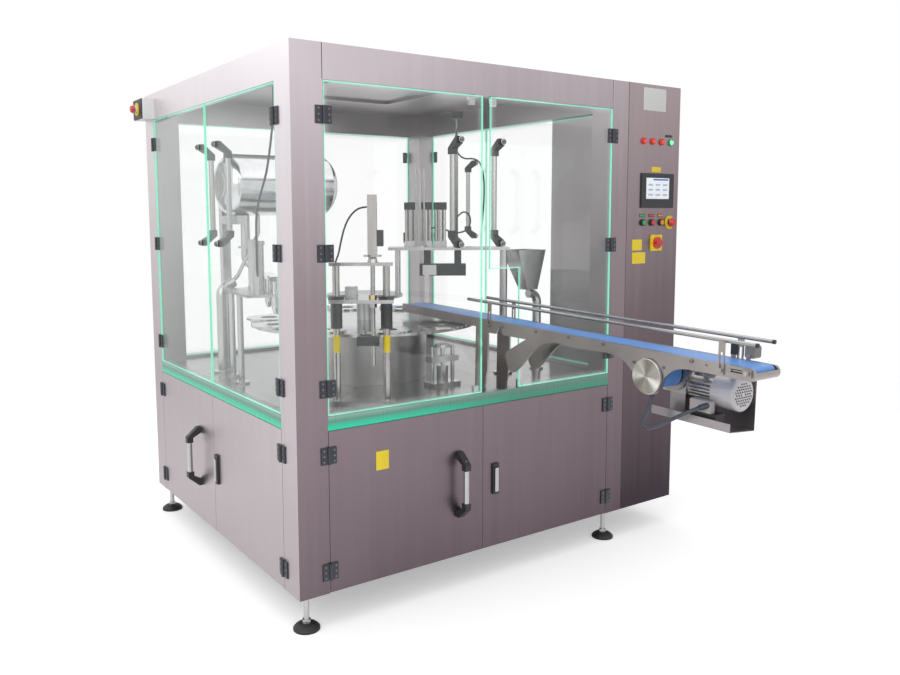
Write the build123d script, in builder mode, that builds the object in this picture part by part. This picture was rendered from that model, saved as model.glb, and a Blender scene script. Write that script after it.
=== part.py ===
"""Rotary cup filling machine with an outfeed conveyor, built as separate pieces.

Every piece is drawn in cabinet coordinates: x runs right along the front, y runs into the
machine, z runs up from the cabinet's lower edge. The plane CABINET moves them to the part's
frame, whose origin is on the floor below the middle of the whole machine. All sizes are in mm.
"""

import os
from math import atan2, cos, degrees, hypot, pi, radians, sin, sqrt, tan

from build123d import *

# Cabinet
BODY_W = 1604.0
BODY_D = 1592.0
BODY_H = 1900.0
FOOT_H = 130.0
CONTROL_W = 345.0
CONTROL_D = 480.0
SHEET = 2.5
POST = 120.0
POST_RIGHT = 99.0
FASCIA_H = 120.0
ROOF_T = 3.0
DOOR_TOP = 587.0
SILL_H = 50.0
SILL_D = 40.0
DECK_Z = 625.0
DECK_T = 4.0
DOOR_GAP = 2.0
SEAT = 0.3

# Doors: splits are measured along each wall from its left end, seen from outside
GLASS_T = 8.0
PAN_T = 20.0
PAN_SHEET = 2.0
FRONT_SPLIT = 805.0
FRONT_PANE_LEFT = 799.0
FRONT_PANE_RIGHT = 837.0
NOTCH_SIDE = FRONT_PANE_RIGHT + 151.0
NOTCH_TOP = 1121.0
LEFT_SPLIT = 794.0
REAR_SPLIT = 790.0
RIGHT_SPLIT = 980.0
GLASS_HINGE_Z = (735.0, BODY_H - 698.0, BODY_H - 235.0)
PAN_HINGE_Z = (80.0, 499.0)
LEAF_W = 30.0
LEAF_H = 60.0
LEAF_T = 5.0
BARREL_R = 6.0
BARREL_OUT = BARREL_R + 0.4
PIN_R = 2.5
PIN_FIT = 0.05
HINGE_CLEAR = 1.0

# Handles
GRIP_R = 11.0
GRIP_OUT = 48.0
ARM_W = 26.0
GLASS_HANDLE_Z = (BODY_H - 680.0, BODY_H - 288.0)
PAN_HANDLE_Z = (174.0, 408.0)
FRONT_HANDLE_LEFT = FRONT_PANE_LEFT - 102.0
FRONT_HANDLE_RIGHT = FRONT_PANE_RIGHT + 63.0
LEFT_HANDLE_REAR = LEFT_SPLIT - 82.0
LEFT_HANDLE_FRONT = LEFT_SPLIT + 104.0

# Operator fittings on the control cabinet
LAMP_X = tuple(BODY_W + across for across in (97.0, 155.0, 214.0, 277.0))
LAMP_Z = BODY_H - 246.0
LAMP_R = 12.0
BUTTON_X = tuple(BODY_W + across for across in (102.0, 162.0, 223.0))
BUTTON_Z = BODY_H - 604.0
BUTTON_R = 11.0
COLLAR_R = 15.0
COLLAR_H = 9.0
BUTTON_TRAVEL = 4.0
STOP_X = BODY_W + 281.0
STOP_R = 20.0
STOP_RING_R = 30.0
STOP_STEM_R = 8.0
STOP_TRAVEL = 4.0
ISOLATOR = (BODY_W + 191.0, BUTTON_Z - 91.0)
ISOLATOR_W = 72.0
ISOLATOR_R = 26.0
HMI = (BODY_W + 85.0, BODY_W + 300.0, BUTTON_Z + 65.0, BUTTON_Z + 218.0)
HMI_FRAME = 30.0
HMI_CHIN = 39.0
HMI_BROW = 19.0
STATION_U = (15.0, 145.0)
STATION_Z = (BODY_H - 119.0, BODY_H - 27.0)
STATION_D = 55.0
STATION_LID = 5.0
STOP_COLLAR = 12.0
HEAD_GAP = 1.0
HEAD_H = 14.0

# Turret
TURRET = (670.0, 680.0)
STATIONS = 10
PITCH = 360.0 / STATIONS
TABLE_R = 500.0
TABLE_Z = 860.0
TABLE_T = 12.0
POCKET_PCD_R = 430.0
POCKET_R = 38.0
HOLDER_R = 100.0
HOLDER_T = 8.0
DRUM_R = 275.0
DRUM_TOP = 845.0
HUB_R = 120.0
POLE_R = 35.0
SLEEVE_R = 55.0
ROTOR_FIT = 0.1
CROWN_Z = 985.0
CROWN_R = 170.0
GEARBOX_W = 300.0
GEARBOX_H = 150.0

# Outfeed conveyor: s runs outward from the cabinet front, h up from the side plates' top edge
CONV_X = 912.0
CONV_Z = 920.0
CONV_SLOPE = 1.1
CONV_IN = 650.0
CONV_OUT = 1158.0
TAIL_IN = 24.0
PLATE_T = 8.0
BELT_W = 96.0
BELT_GAP = 4.0
BELT_T = 2.0
NOSE_R = 12.0
PLATE_DROP = 37.0
PLATE_END_R = PLATE_DROP / 2
DRIVE_S = 780.0
DRIVE_H = -84.0
DRUM_DRIVE_R = 42.0
LOBE_R = 60.0
LOBE_SWEEP = 8.0
SHAFT_R = 10.0
SHAFT_FIT = 0.05
DISC_R = 57.0
DISC_T = 10.0
DISC_HOLE_AT = 40.0
LEG_S = (-107.0, -46.0)
RAIL_H = 67.0
RAIL_R = 6.0
RAIL_IN = 173.0
RAIL_ENDS = {1: 1155.0, -1: 1142.0}
RAIL_GAP = 88.0
BRACKETS = {1: (-18.0, 1047.0), -1: (-18.0, 1023.0)}
BRACKET_LOW = -32.0
BRACKET_SLOT = (10.0, -12.0, 34.0)
MOTOR_R = 52.0
MOTOR_DROP = 39.0
MOTOR_CLEAR = 4.0
MOTOR_AT = 49.0
COVER_L = 75.0

# Twin column station (presses lids), left of the conveyor
COLUMN_A = (278.0, 219.0)
COLUMN_B = (431.0, 110.0)
COLUMN_R = 13.5
CROSSHEAD_Z = 1005.0
CROSSHEAD_T = 14.0
SLEEVE_OUT_R = 22.0
SLEEVE_LEN = 94.0
TOP_PLATE_Z = 1145.0
RAM_AT = 0.73
RAM_R = 8.5
RAM_BODY = 34.0
SLIDE_FIT = 0.05

# Bridge over the table, with the cup transfer unit
BRIDGE_IN = (793.0, 595.0)
BRIDGE_OUT = (1180.0, 330.0)
BRIDGE_Z = 1180.0
BRIDGE_T = 12.0
BRIDGE_W = 150.0
TRANSFER_Z = (1067.0, 1119.0)

# Filling station and tank
FILL_TOP = 1000.0
TANK_R = 142.0
TANK_X = (215.0, 775.0)
TANK_Y = 1200.0
TANK_Z = 1475.0
STAND_GAP = 8.0
STAND_D = 40.0

LEFT_END = -(STATION_D + STATION_LID + STOP_COLLAR + STOP_TRAVEL + HEAD_GAP + HEAD_H)
RIGHT_END = BODY_W + CONTROL_W
TILT = radians(CONV_SLOPE)
PLATE_FAR = (CONV_OUT - PLATE_END_R) * cos(TILT) - PLATE_END_R * sin(TILT) + PLATE_END_R
RAIL_FAR = max(RAIL_ENDS.values()) * cos(TILT) + (RAIL_H + RAIL_R) * sin(TILT)
FRONT_END = -max(PLATE_FAR, RAIL_FAR)
REAR_END = BODY_D + BARREL_OUT + BARREL_R
MID_X = (LEFT_END + RIGHT_END) / 2
MID_Y = (FRONT_END + REAR_END) / 2

CABINET = Plane(origin=(-MID_X, -MID_Y, FOOT_H), x_dir=(1, 0, 0), z_dir=(0, 0, 1))


def place(x, y, z):
    """Part coordinates of a point given in cabinet coordinates."""
    return CABINET.from_local_coords(Vector(x, y, z))


# Wall planes: local x runs right seen from outside, local y up, local z outward
FRONT = Plane(origin=place(0, 0, 0), x_dir=(1, 0, 0), z_dir=(0, -1, 0))
LEFT = Plane(origin=place(0, BODY_D, 0), x_dir=(0, -1, 0), z_dir=(-1, 0, 0))
REAR = Plane(origin=place(BODY_W, BODY_D, 0), x_dir=(-1, 0, 0), z_dir=(0, 1, 0))
RIGHT = Plane(origin=place(BODY_W, 0, 0), x_dir=(0, 1, 0), z_dir=(1, 0, 0))
# Conveyor plane: local x is s, local y is h, local z points to the near side
CONVEYOR = Plane(
    origin=place(CONV_X, 0, CONV_Z),
    x_dir=(0, -cos(TILT), -sin(TILT)),
    z_dir=(-1, 0, 0),
)
TURN = {"x": (0, 90, 0), "y": (-90, 0, 0), "z": (0, 0, 0)}
FROM_START = (Align.CENTER, Align.CENTER, Align.MIN)


def block(x, y, z, mode=Mode.ADD):
    """A box between the value pairs x, y and z of the current workplane."""
    with Locations(((x[0] + x[1]) / 2, (y[0] + y[1]) / 2, (z[0] + z[1]) / 2)):
        Box(x[1] - x[0], y[1] - y[0], z[1] - z[0], mode=mode)


def bar(start, radius, length, axis="z", mode=Mode.ADD):
    """A round bar from a start point along one axis of the current workplane."""
    with Locations(start):
        Cylinder(radius, length, rotation=TURN[axis], align=FROM_START, mode=mode)


def side_plane(wall, u):
    """Plane across a wall at u: local x runs outward, local y up."""
    return Plane(origin=wall.from_local_coords(Vector(u, 0, 0)), x_dir=wall.z_dir, z_dir=-wall.x_dir)


def around(radius, angle):
    """A point on a circle about the turret axis, in cabinet coordinates."""
    return (TURRET[0] + radius * cos(radians(angle)), TURRET[1] + radius * sin(radians(angle)))


# Cabinet shell
def corner_post(x, y):
    block(x, y, (0, BODY_H - ROOF_T))
    inner_x = (x[0] + SHEET, x[1] - SHEET)
    inner_y = (y[0] + SHEET, y[1] - SHEET)
    block(inner_x, inner_y, (2 * SHEET, BODY_H - ROOF_T), mode=Mode.SUBTRACT)


def channel(plane_x, z, depth_from, depth_to):
    """A downward open channel along a wall, drawn on that wall's plane."""
    block(plane_x, z, (-depth_to, -depth_from))
    block(
        plane_x,
        (z[0], z[1] - SHEET),
        (-depth_to + SHEET, -depth_from - SHEET),
        mode=Mode.SUBTRACT,
    )


SPAN = {
    "front": (FRONT, (POST, BODY_W - POST_RIGHT)),
    "left": (LEFT, (POST, BODY_D - POST)),
    "rear": (REAR, (POST_RIGHT, BODY_W - POST)),
    "right": (RIGHT, (POST, BODY_D - POST)),
}

with BuildPart() as cabinet_frame:
    with BuildPart(CABINET):
        for post_x in ((0, POST), (BODY_W - POST_RIGHT, BODY_W)):
            for post_y in ((0, POST), (BODY_D - POST, BODY_D)):
                corner_post(post_x, post_y)
    for wall, span in SPAN.values():
        with BuildPart(wall):
            channel(span, (DOOR_TOP, DOOR_TOP + SILL_H), 0, SILL_D)
            channel(span, (0, SILL_D), PAN_T + SEAT, PAN_T + SEAT + SILL_D)

with BuildPart() as top_fascia:
    for wall, span in SPAN.values():
        with BuildPart(wall):
            block(span, (BODY_H - FASCIA_H, BODY_H - ROOF_T), (-SILL_D, 0))
            block(
                span,
                (BODY_H - FASCIA_H + SHEET, BODY_H - ROOF_T - SHEET),
                (-SILL_D, -SHEET),
                mode=Mode.SUBTRACT,
            )

HATCH = ((480.0, 1080.0), (620.0, 1120.0))
HATCH_RIM = 30.0
with BuildPart(CABINET) as roof_panel:
    block((0, BODY_W), (0, BODY_D), (BODY_H - ROOF_T, BODY_H))
    block(HATCH[0], HATCH[1], (BODY_H - ROOF_T - 14, BODY_H - ROOF_T))
    block(
        (HATCH[0][0] + HATCH_RIM, HATCH[0][1] - HATCH_RIM),
        (HATCH[1][0] + HATCH_RIM, HATCH[1][1] - HATCH_RIM),
        (BODY_H - ROOF_T - 14, BODY_H - ROOF_T),
        mode=Mode.SUBTRACT,
    )

with BuildPart(CABINET) as deck_plate:
    block((SILL_D, BODY_W - SILL_D), (SILL_D, BODY_D - SILL_D), (DECK_Z - DECK_T, DECK_Z))
    for post_x in ((0, POST), (BODY_W - POST_RIGHT, BODY_W)):
        for post_y in ((0, POST), (BODY_D - POST, BODY_D)):
            block(post_x, post_y, (DECK_Z - DECK_T, DECK_Z), mode=Mode.SUBTRACT)
    bar((*TURRET, DECK_Z - DECK_T), SLEEVE_R + 25, DECK_T, mode=Mode.SUBTRACT)


def pan(span, z):
    """A folded door or cover: a face sheet with four returned edges."""
    block(span, z, (-PAN_T, 0))
    block(
        (span[0] + PAN_SHEET, span[1] - PAN_SHEET),
        (z[0] + PAN_SHEET, z[1] - PAN_SHEET),
        (-PAN_T, -PAN_SHEET),
        mode=Mode.SUBTRACT,
    )


PAN_Z = (DOOR_GAP, DOOR_TOP - DOOR_GAP)
with BuildPart() as lower_covers:
    for wall, span in (SPAN["rear"], SPAN["right"]):
        with BuildPart(wall):
            pan((span[0] + SEAT, span[1] - SEAT), PAN_Z)

FOOT_INSET = 47.0
FEET = [(x, y) for x in (FOOT_INSET, BODY_W - 64) for y in (FOOT_INSET, BODY_D - FOOT_INSET)]
PAD_R = 48.0
PAD_H = 26.0
STEM_R = 10.0
NUT_R = 16.0
with BuildSketch(Plane(origin=place(0, 0, 0), x_dir=(1, 0, 0), z_dir=(0, -1, 0))) as pad_face:
    with BuildLine():
        Polyline((0, -FOOT_H), (PAD_R, -FOOT_H), (PAD_R, -FOOT_H + 8))
        ThreePointArc(
            (PAD_R, -FOOT_H + 8),
            (PAD_R * 0.72, -FOOT_H + PAD_H * 0.78),
            (STEM_R + 6, -FOOT_H + PAD_H),
        )
        Polyline((STEM_R + 6, -FOOT_H + PAD_H), (0, -FOOT_H + PAD_H), (0, -FOOT_H))
    make_face()
pad_solid = revolve(pad_face.sketch, axis=Axis(place(0, 0, 0), (0, 0, 1)), mode=Mode.PRIVATE)
with BuildPart() as foot_pads:
    for x, y in FEET:
        add(pad_solid.moved(Location((x, y, 0))))

with BuildPart(CABINET) as foot_stems:
    for x, y in FEET:
        bar((x, y, -FOOT_H + PAD_H), STEM_R, FOOT_H - PAD_H)
        for low in (-FOOT_H + PAD_H, -16):
            with BuildSketch(CABINET.offset(low)):
                with Locations((x, y)):
                    RegularPolygon(NUT_R, 6)
            extrude(amount=12 if low < -20 else 16)


# Hinges: the pin side on the post, the sleeve side on the door
def hinge_fixed(u, z, side):
    """Post leaf with its pin; side is +1 where the door lies to the right of the pin."""
    low, high = z - LEAF_H / 2, z + LEAF_H / 2
    near = u - side * (BARREL_R + HINGE_CLEAR)
    block(sorted((u - side * LEAF_W, near)), (low, high), (0, LEAF_T))
    block(sorted((near, u)), (low, z), (0, LEAF_T))
    bar((u, low, BARREL_OUT), BARREL_R, LEAF_H / 2, axis="y")
    bar((u, z, BARREL_OUT), PIN_R, LEAF_H / 2 - 2, axis="y")


def hinge_moving(u, z, side):
    """Door leaf with the sleeve that turns on the pin."""
    low, high = z - LEAF_H / 2, z + LEAF_H / 2
    near = u + side * (BARREL_R + HINGE_CLEAR)
    block(sorted((near, u + side * LEAF_W)), (low, high), (0, LEAF_T))
    block(sorted((u, near)), (z + SEAT, high), (0, LEAF_T))
    bar((u, z + SEAT, BARREL_OUT), BARREL_R, LEAF_H / 2 - SEAT, axis="y")
    bar((u, z + SEAT, BARREL_OUT), PIN_R + PIN_FIT, LEAF_H / 2 - SEAT, axis="y", mode=Mode.SUBTRACT)


# Every door: wall, pin position, side, pane edges or pan edges
DOORS = {
    "front_glass_left": (FRONT, POST + 1, 1, (POST + DOOR_GAP, FRONT_PANE_LEFT)),
    "front_glass_right": (
        FRONT,
        BODY_W - POST_RIGHT - 1,
        -1,
        (FRONT_PANE_RIGHT, BODY_W - POST_RIGHT - DOOR_GAP),
    ),
    "left_glass_rear": (LEFT, POST + 1, 1, (POST + DOOR_GAP, LEFT_SPLIT - 1)),
    "left_glass_front": (LEFT, BODY_D - POST - 1, -1, (LEFT_SPLIT + 1, BODY_D - POST - DOOR_GAP)),
    "rear_glass_right": (REAR, POST_RIGHT + 1, 1, (POST_RIGHT + DOOR_GAP, REAR_SPLIT - 1)),
    "rear_glass_left": (REAR, BODY_W - POST - 1, -1, (REAR_SPLIT + 1, BODY_W - POST - DOOR_GAP)),
    "right_glass_rear": (
        RIGHT,
        BODY_D - POST - 1,
        -1,
        (RIGHT_SPLIT + 1, BODY_D - POST - DOOR_GAP),
    ),
}
PANS = {
    "front_lower_left": (FRONT, POST + 1, 1, (POST + DOOR_GAP, FRONT_SPLIT - 1)),
    "front_lower_right": (
        FRONT,
        BODY_W - POST_RIGHT - 1,
        -1,
        (FRONT_SPLIT + 1, BODY_W - POST_RIGHT - DOOR_GAP),
    ),
    "left_lower_rear": (LEFT, POST + 1, 1, (POST + DOOR_GAP, LEFT_SPLIT - 1)),
    "left_lower_front": (LEFT, BODY_D - POST - 1, -1, (LEFT_SPLIT + 1, BODY_D - POST - DOOR_GAP)),
}
GLASS_Z = (DOOR_TOP + SILL_H + DOOR_GAP, BODY_H - FASCIA_H - DOOR_GAP)

with BuildPart() as hinge_pins:
    for doors, heights in ((DOORS, GLASS_HINGE_Z), (PANS, PAN_HINGE_Z)):
        for wall, pin_u, side, _ in doors.values():
            for height in heights:
                with BuildPart(wall):
                    hinge_fixed(pin_u, height, side)


def bridge_handle(wall, u, z, face, out):
    """Two angled arms and a tube; out is +1 outside a door and -1 inside it."""
    low, high = z
    far = face + out * GRIP_OUT
    for end, turn in ((low, 1), (high, -1)):
        with BuildSketch(side_plane(wall, u).offset(-ARM_W / 2)) as arm:
            with BuildLine():
                Polyline(
                    (face, end - turn * 13),
                    (face + out * 14, end - turn * 13),
                    (far + out * 13, end + turn * 28),
                    (far + out * 13, end + turn * 52),
                    (far - out * 13, end + turn * 52),
                    (far - out * 13, end + turn * 32),
                    (face, end + turn * 13),
                    close=True,
                )
            make_face()
        extrude(arm.sketch, amount=ARM_W)
    bar((u, low + 52, far), GRIP_R, high - low - 104, axis="y")


def glass_door(name, handle_u=None, notch=None):
    wall, pin_u, side, span = DOORS[name]
    with BuildPart(wall) as door:
        block(span, GLASS_Z, (-GLASS_T, 0))
        if notch:
            block((span[0], notch[0]), (GLASS_Z[0], notch[1]), (-GLASS_T, 0), mode=Mode.SUBTRACT)
        for height in GLASS_HINGE_Z:
            hinge_moving(pin_u, height, side)
        if handle_u:
            bridge_handle(wall, handle_u, GLASS_HANDLE_Z, -GLASS_T, -1)
            for height in GLASS_HANDLE_Z:
                bar((handle_u, height, 0), 12, 4)
    return door


front_glass_left = glass_door("front_glass_left", FRONT_HANDLE_LEFT)
front_glass_right = glass_door("front_glass_right", FRONT_HANDLE_RIGHT, (NOTCH_SIDE, NOTCH_TOP))
left_glass_rear = glass_door("left_glass_rear", LEFT_HANDLE_REAR)
left_glass_front = glass_door("left_glass_front", LEFT_HANDLE_FRONT)
rear_glass_left = glass_door("rear_glass_left", REAR_SPLIT + 90)
rear_glass_right = glass_door("rear_glass_right", REAR_SPLIT - 90)
right_glass_rear = glass_door("right_glass_rear", RIGHT_SPLIT + 90)

# Fixed pane between the control cabinet and the right hand door
with BuildPart(RIGHT) as right_fixed_pane:
    block((POST + SEAT, RIGHT_SPLIT - 1), (GLASS_Z[0] - DOOR_GAP, GLASS_Z[1]), (-GLASS_T, 0))

LOCK_W = 30.0
LOCK_H = 124.0
LOCK_T = 9.0
LOCK_FRONT = (FRONT_SPLIT + 62.0, 281.0)
LOCK_LEFT = (LEFT_SPLIT + 40.0, 281.0)


def lower_door(name, handle_u=None, lock=None):
    wall, pin_u, side, span = PANS[name]
    with BuildPart(wall) as door:
        pan(span, PAN_Z)
        for height in PAN_HINGE_Z:
            hinge_moving(pin_u, height, side)
        if handle_u:
            bridge_handle(wall, handle_u, PAN_HANDLE_Z, 0, 1)
        if lock:
            half_w, half_h = LOCK_W / 2, LOCK_H / 2
            block(
                (lock[0] - half_w, lock[0] + half_w),
                (lock[1] - half_h, lock[1] + half_h),
                (0, LOCK_T),
            )
            block(
                (lock[0] - half_w + 6, lock[0] + half_w - 6),
                (lock[1] - half_h + 8, lock[1] + half_h - 14),
                (2, LOCK_T),
                mode=Mode.SUBTRACT,
            )
    return door


front_lower_left = lower_door("front_lower_left", handle_u=FRONT_SPLIT - 118.0)
front_lower_right = lower_door("front_lower_right", lock=LOCK_FRONT)
left_lower_rear = lower_door("left_lower_rear", handle_u=LEFT_SPLIT - 167.0)
left_lower_front = lower_door("left_lower_front", lock=LOCK_LEFT)


def swing_handle(wall, lock):
    """Pull-out lever of a door lock; it hinges at the lock's top."""
    half_w, half_h = LOCK_W / 2, LOCK_H / 2
    with BuildPart(wall) as lever:
        block(
            (lock[0] - half_w + 6 + SEAT, lock[0] + half_w - 6 - SEAT),
            (lock[1] - half_h + 10, lock[1] + half_h - 16),
            (LOCK_T - 3, LOCK_T + 5),
        )
        fillet(lever.edges().filter_by(Axis((0, 0, 0), wall.z_dir)), 4)
    return lever


lock_lever_front = swing_handle(FRONT, LOCK_FRONT)
lock_lever_left = swing_handle(LEFT, LOCK_LEFT)

# Control cabinet
with BuildPart(CABINET) as control_cabinet:
    block((BODY_W, RIGHT_END), (0, CONTROL_D), (0, BODY_H))
    corners = control_cabinet.edges().filter_by(Axis.Z).sort_by(Axis.X)[-2:]
    fillet(corners, 12)
    block(
        (BODY_W + SHEET, RIGHT_END - SHEET),
        (SHEET, CONTROL_D - SHEET),
        (0, BODY_H - SHEET),
        mode=Mode.SUBTRACT,
    )

with BuildPart(FRONT) as hmi_panel:
    block(HMI[0:2], HMI[2:4], (0, 6))
    screen_x = (HMI[0] + HMI_FRAME, HMI[1] - HMI_FRAME)
    screen_z = (HMI[2] + HMI_CHIN, HMI[3] - HMI_BROW)
    block(screen_x, screen_z, (4.5, 6), mode=Mode.SUBTRACT)

with BuildPart(FRONT) as signal_lamps:
    for lamp_x in LAMP_X:
        bar((lamp_x, LAMP_Z, 0), LAMP_R, 4)
        bar((lamp_x, LAMP_Z, 4), LAMP_R - 3, 6)

with BuildPart(FRONT) as switch_bodies:
    for button_x in BUTTON_X:
        bar((button_x, BUTTON_Z, 0), COLLAR_R, COLLAR_H)
        bar((button_x, BUTTON_Z, 0.5), BUTTON_R + SHAFT_FIT, COLLAR_H, mode=Mode.SUBTRACT)
    bar((STOP_X, BUTTON_Z, 0), STOP_RING_R, 4)
    bar((STOP_X, BUTTON_Z, 4), COLLAR_R, STOP_COLLAR - 4)
    bar((STOP_X, BUTTON_Z, 0.5), STOP_STEM_R + SHAFT_FIT, STOP_COLLAR, mode=Mode.SUBTRACT)
    half = ISOLATOR_W / 2
    block((ISOLATOR[0] - half, ISOLATOR[0] + half), (ISOLATOR[1] - half, ISOLATOR[1] + half), (0, 8))
    bar((*ISOLATOR, 4), 8 + SHAFT_FIT, 5, mode=Mode.SUBTRACT)


def push_button(x):
    with BuildPart(FRONT) as button:
        bar((x, BUTTON_Z, 0.5 + BUTTON_TRAVEL), BUTTON_R, COLLAR_H - BUTTON_TRAVEL + 3)
        chamfer(button.edges().group_by(Axis.Y)[0], 1)
    return button


green_button = push_button(BUTTON_X[0])
red_button = push_button(BUTTON_X[1])
orange_button = push_button(BUTTON_X[2])


def mushroom(wall, centre, base):
    """A palm button: its stem runs in a collar and its head stands clear of it."""
    stem_low = base + 0.5 + STOP_TRAVEL
    head_low = base + STOP_COLLAR + STOP_TRAVEL + HEAD_GAP
    with BuildPart(wall) as stop:
        bar((*centre, stem_low), STOP_STEM_R, head_low - stem_low + 1)
        with Locations((*centre, head_low)):
            Cone(STOP_R, STOP_R - 6, HEAD_H, align=FROM_START)
    return stop


emergency_stop_front = mushroom(FRONT, (STOP_X, BUTTON_Z), 0)

with BuildPart(FRONT) as isolator_knob:
    bar((*ISOLATOR, 8.3), ISOLATOR_R, 9)
    bar((*ISOLATOR, 4.3), 8, 5)
    block((ISOLATOR[0] - 22, ISOLATOR[0] + 22), (ISOLATOR[1] - 6, ISOLATOR[1] + 6), (17, 29))

with BuildPart(LEFT) as stop_station:
    block(STATION_U, STATION_Z, (0, STATION_D))
    station_mid = (sum(STATION_U) / 2, sum(STATION_Z) / 2)
    block(
        (STATION_U[0] + 2, STATION_U[1] - 2),
        (STATION_Z[0] + 2, STATION_Z[1] - 2),
        (STATION_D, STATION_D + STATION_LID),
    )
    lid_out = STATION_D + STATION_LID
    bar((*station_mid, lid_out), STOP_RING_R, 4)
    bar((*station_mid, lid_out + 4), COLLAR_R, STOP_COLLAR - 4)
    bar((*station_mid, lid_out + 0.5), STOP_STEM_R + SHAFT_FIT, STOP_COLLAR, mode=Mode.SUBTRACT)

emergency_stop_rear = mushroom(LEFT, station_mid, lid_out)

# Turret drive and table
with BuildPart(CABINET) as index_gearbox:
    half = GEARBOX_W / 2
    gear_low = DECK_Z - DECK_T - GEARBOX_H
    block(
        (TURRET[0] - half, TURRET[0] + half),
        (TURRET[1] - half, TURRET[1] + half),
        (gear_low, DECK_Z - DECK_T),
    )
    bar((*TURRET, gear_low + 20), SLEEVE_R + 3, GEARBOX_H, mode=Mode.SUBTRACT)
    bar((*TURRET, gear_low), POLE_R, CROWN_Z - gear_low - 12)
    bar((*TURRET, CROWN_Z - 12), CROWN_R, 12)

with BuildPart(CABINET) as index_motor:
    motor_x = TURRET[0] + GEARBOX_W / 2
    motor_z = DECK_Z - DECK_T - GEARBOX_H / 2
    bar((motor_x, TURRET[1], motor_z), 70, 12, axis="x")
    bar((motor_x + 12, TURRET[1], motor_z), 60, 200, axis="x")
    block((motor_x + 60, motor_x + 140), (TURRET[1] - 40, TURRET[1] + 40), (motor_z - 92, motor_z - 50))

with BuildPart(CABINET) as turret_drum:
    bar((*TURRET, DECK_Z), DRUM_R, DRUM_TOP - DECK_Z)
    bar((*TURRET, DECK_Z), DRUM_R - SHEET, DRUM_TOP - DECK_Z - SHEET, mode=Mode.SUBTRACT)
    bar((*TURRET, DRUM_TOP - SHEET), SLEEVE_R + 5, SHEET, mode=Mode.SUBTRACT)

with BuildPart(CABINET) as turntable:
    bar((*TURRET, TABLE_Z), TABLE_R, TABLE_T)
    bar((*TURRET, DRUM_TOP + 3), HUB_R, TABLE_Z - DRUM_TOP - 3)
    bar((*TURRET, DECK_Z - DECK_T - GEARBOX_H + 26), SLEEVE_R, TABLE_Z - DECK_Z + GEARBOX_H - 20)
    bar(
        (*TURRET, DECK_Z - DECK_T - GEARBOX_H + 26),
        POLE_R + ROTOR_FIT,
        TABLE_Z + TABLE_T - DECK_Z + GEARBOX_H,
        mode=Mode.SUBTRACT,
    )
    for station in range(STATIONS):
        bar((*around(POCKET_PCD_R, station * PITCH), TABLE_Z), POCKET_R, TABLE_T, mode=Mode.SUBTRACT)

HOLDER_LOW = TABLE_Z + TABLE_T
with BuildPart(CABINET) as cup_holders:
    for station in range(STATIONS):
        centre = around(POCKET_PCD_R, station * PITCH)
        bar((*centre, HOLDER_LOW), HOLDER_R, HOLDER_T)
        bar((*centre, HOLDER_LOW), POCKET_R - 1, HOLDER_T, mode=Mode.SUBTRACT)
TABLE_TOP = HOLDER_LOW + HOLDER_T


# Conveyor: one outline serves both side plates
def plate_outline(window):
    leg_low = -(CONV_Z - DECK_Z)
    under = -PLATE_DROP
    lobe_x = LOBE_R * cos(radians(LOBE_SWEEP))
    lobe_y = LOBE_R * sin(radians(LOBE_SWEEP))
    lift = tan(TILT)
    with BuildLine() as outline:
        Polyline((-CONV_IN, 0), (CONV_OUT - PLATE_END_R, 0))
        ThreePointArc(
            (CONV_OUT - PLATE_END_R, 0),
            (CONV_OUT, -PLATE_END_R),
            (CONV_OUT - PLATE_END_R, under),
        )
        Line((CONV_OUT - PLATE_END_R, under), (DRIVE_S + 180, under))
        Spline(
            (DRIVE_S + 180, under),
            (DRIVE_S + 135, under - 2),
            (DRIVE_S + 96, under - 14),
            (DRIVE_S + 70, under - 36),
            (DRIVE_S + lobe_x, DRIVE_H - lobe_y),
            tangents=[(-1, 0), (-lobe_y, -lobe_x)],
        )
        ThreePointArc(
            (DRIVE_S + lobe_x, DRIVE_H - lobe_y),
            (DRIVE_S, DRIVE_H - LOBE_R),
            (DRIVE_S - lobe_x, DRIVE_H - lobe_y),
        )
        Spline(
            (DRIVE_S - lobe_x, DRIVE_H - lobe_y),
            (DRIVE_S - 78, under - 33),
            (DRIVE_S - 104, under - 14),
            (DRIVE_S - 140, under - 3),
            (DRIVE_S - 220, under - 1),
            (420, -42),
            (250, -76),
            (90, -160),
            (LEG_S[1], leg_low + 30),
            tangents=[(-lobe_y, lobe_x), (-0.25, -1)],
        )
        Polyline(
            (LEG_S[1], leg_low + 30),
            (LEG_S[1], leg_low / cos(TILT) + LEG_S[1] * lift),
            (LEG_S[0], leg_low / cos(TILT) + LEG_S[0] * lift),
            (LEG_S[0], under),
            (-CONV_IN, under),
            (-CONV_IN, 0),
        )
    make_face(outline.edges())
    if window:
        with BuildLine() as opening:
            Polyline((-30, -52), (196, -48), (60, -126), (-30, -212), close=True)
        make_face(opening.edges(), mode=Mode.SUBTRACT)


HALF_IN = BELT_W / 2 + BELT_GAP
HALF_OUT = HALF_IN + PLATE_T
TAIL_S = CONV_OUT - TAIL_IN
NOSE_S = -CONV_IN + NOSE_R + 6
ROLLER_H = -NOSE_R - BELT_T
AXLE_R = 5.0
TAKE_UP = (60.0, 14.0)
BEARING_T = 6.0
NUT_T = 5.0
CABLE_R = 6.0
CABLE_END = (DRIVE_S + 4, DRIVE_H - LOBE_R - 3, HALF_IN - 8)


def hexagon(spot, direction, radius, height):
    """A six sided nut or bolt head that starts at a point of the conveyor plane."""
    with BuildSketch(Plane(origin=CONVEYOR.from_local_coords(Vector(*spot)), z_dir=direction)) as face:
        RegularPolygon(radius, 6)
    extrude(face.sketch, amount=height)


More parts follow.
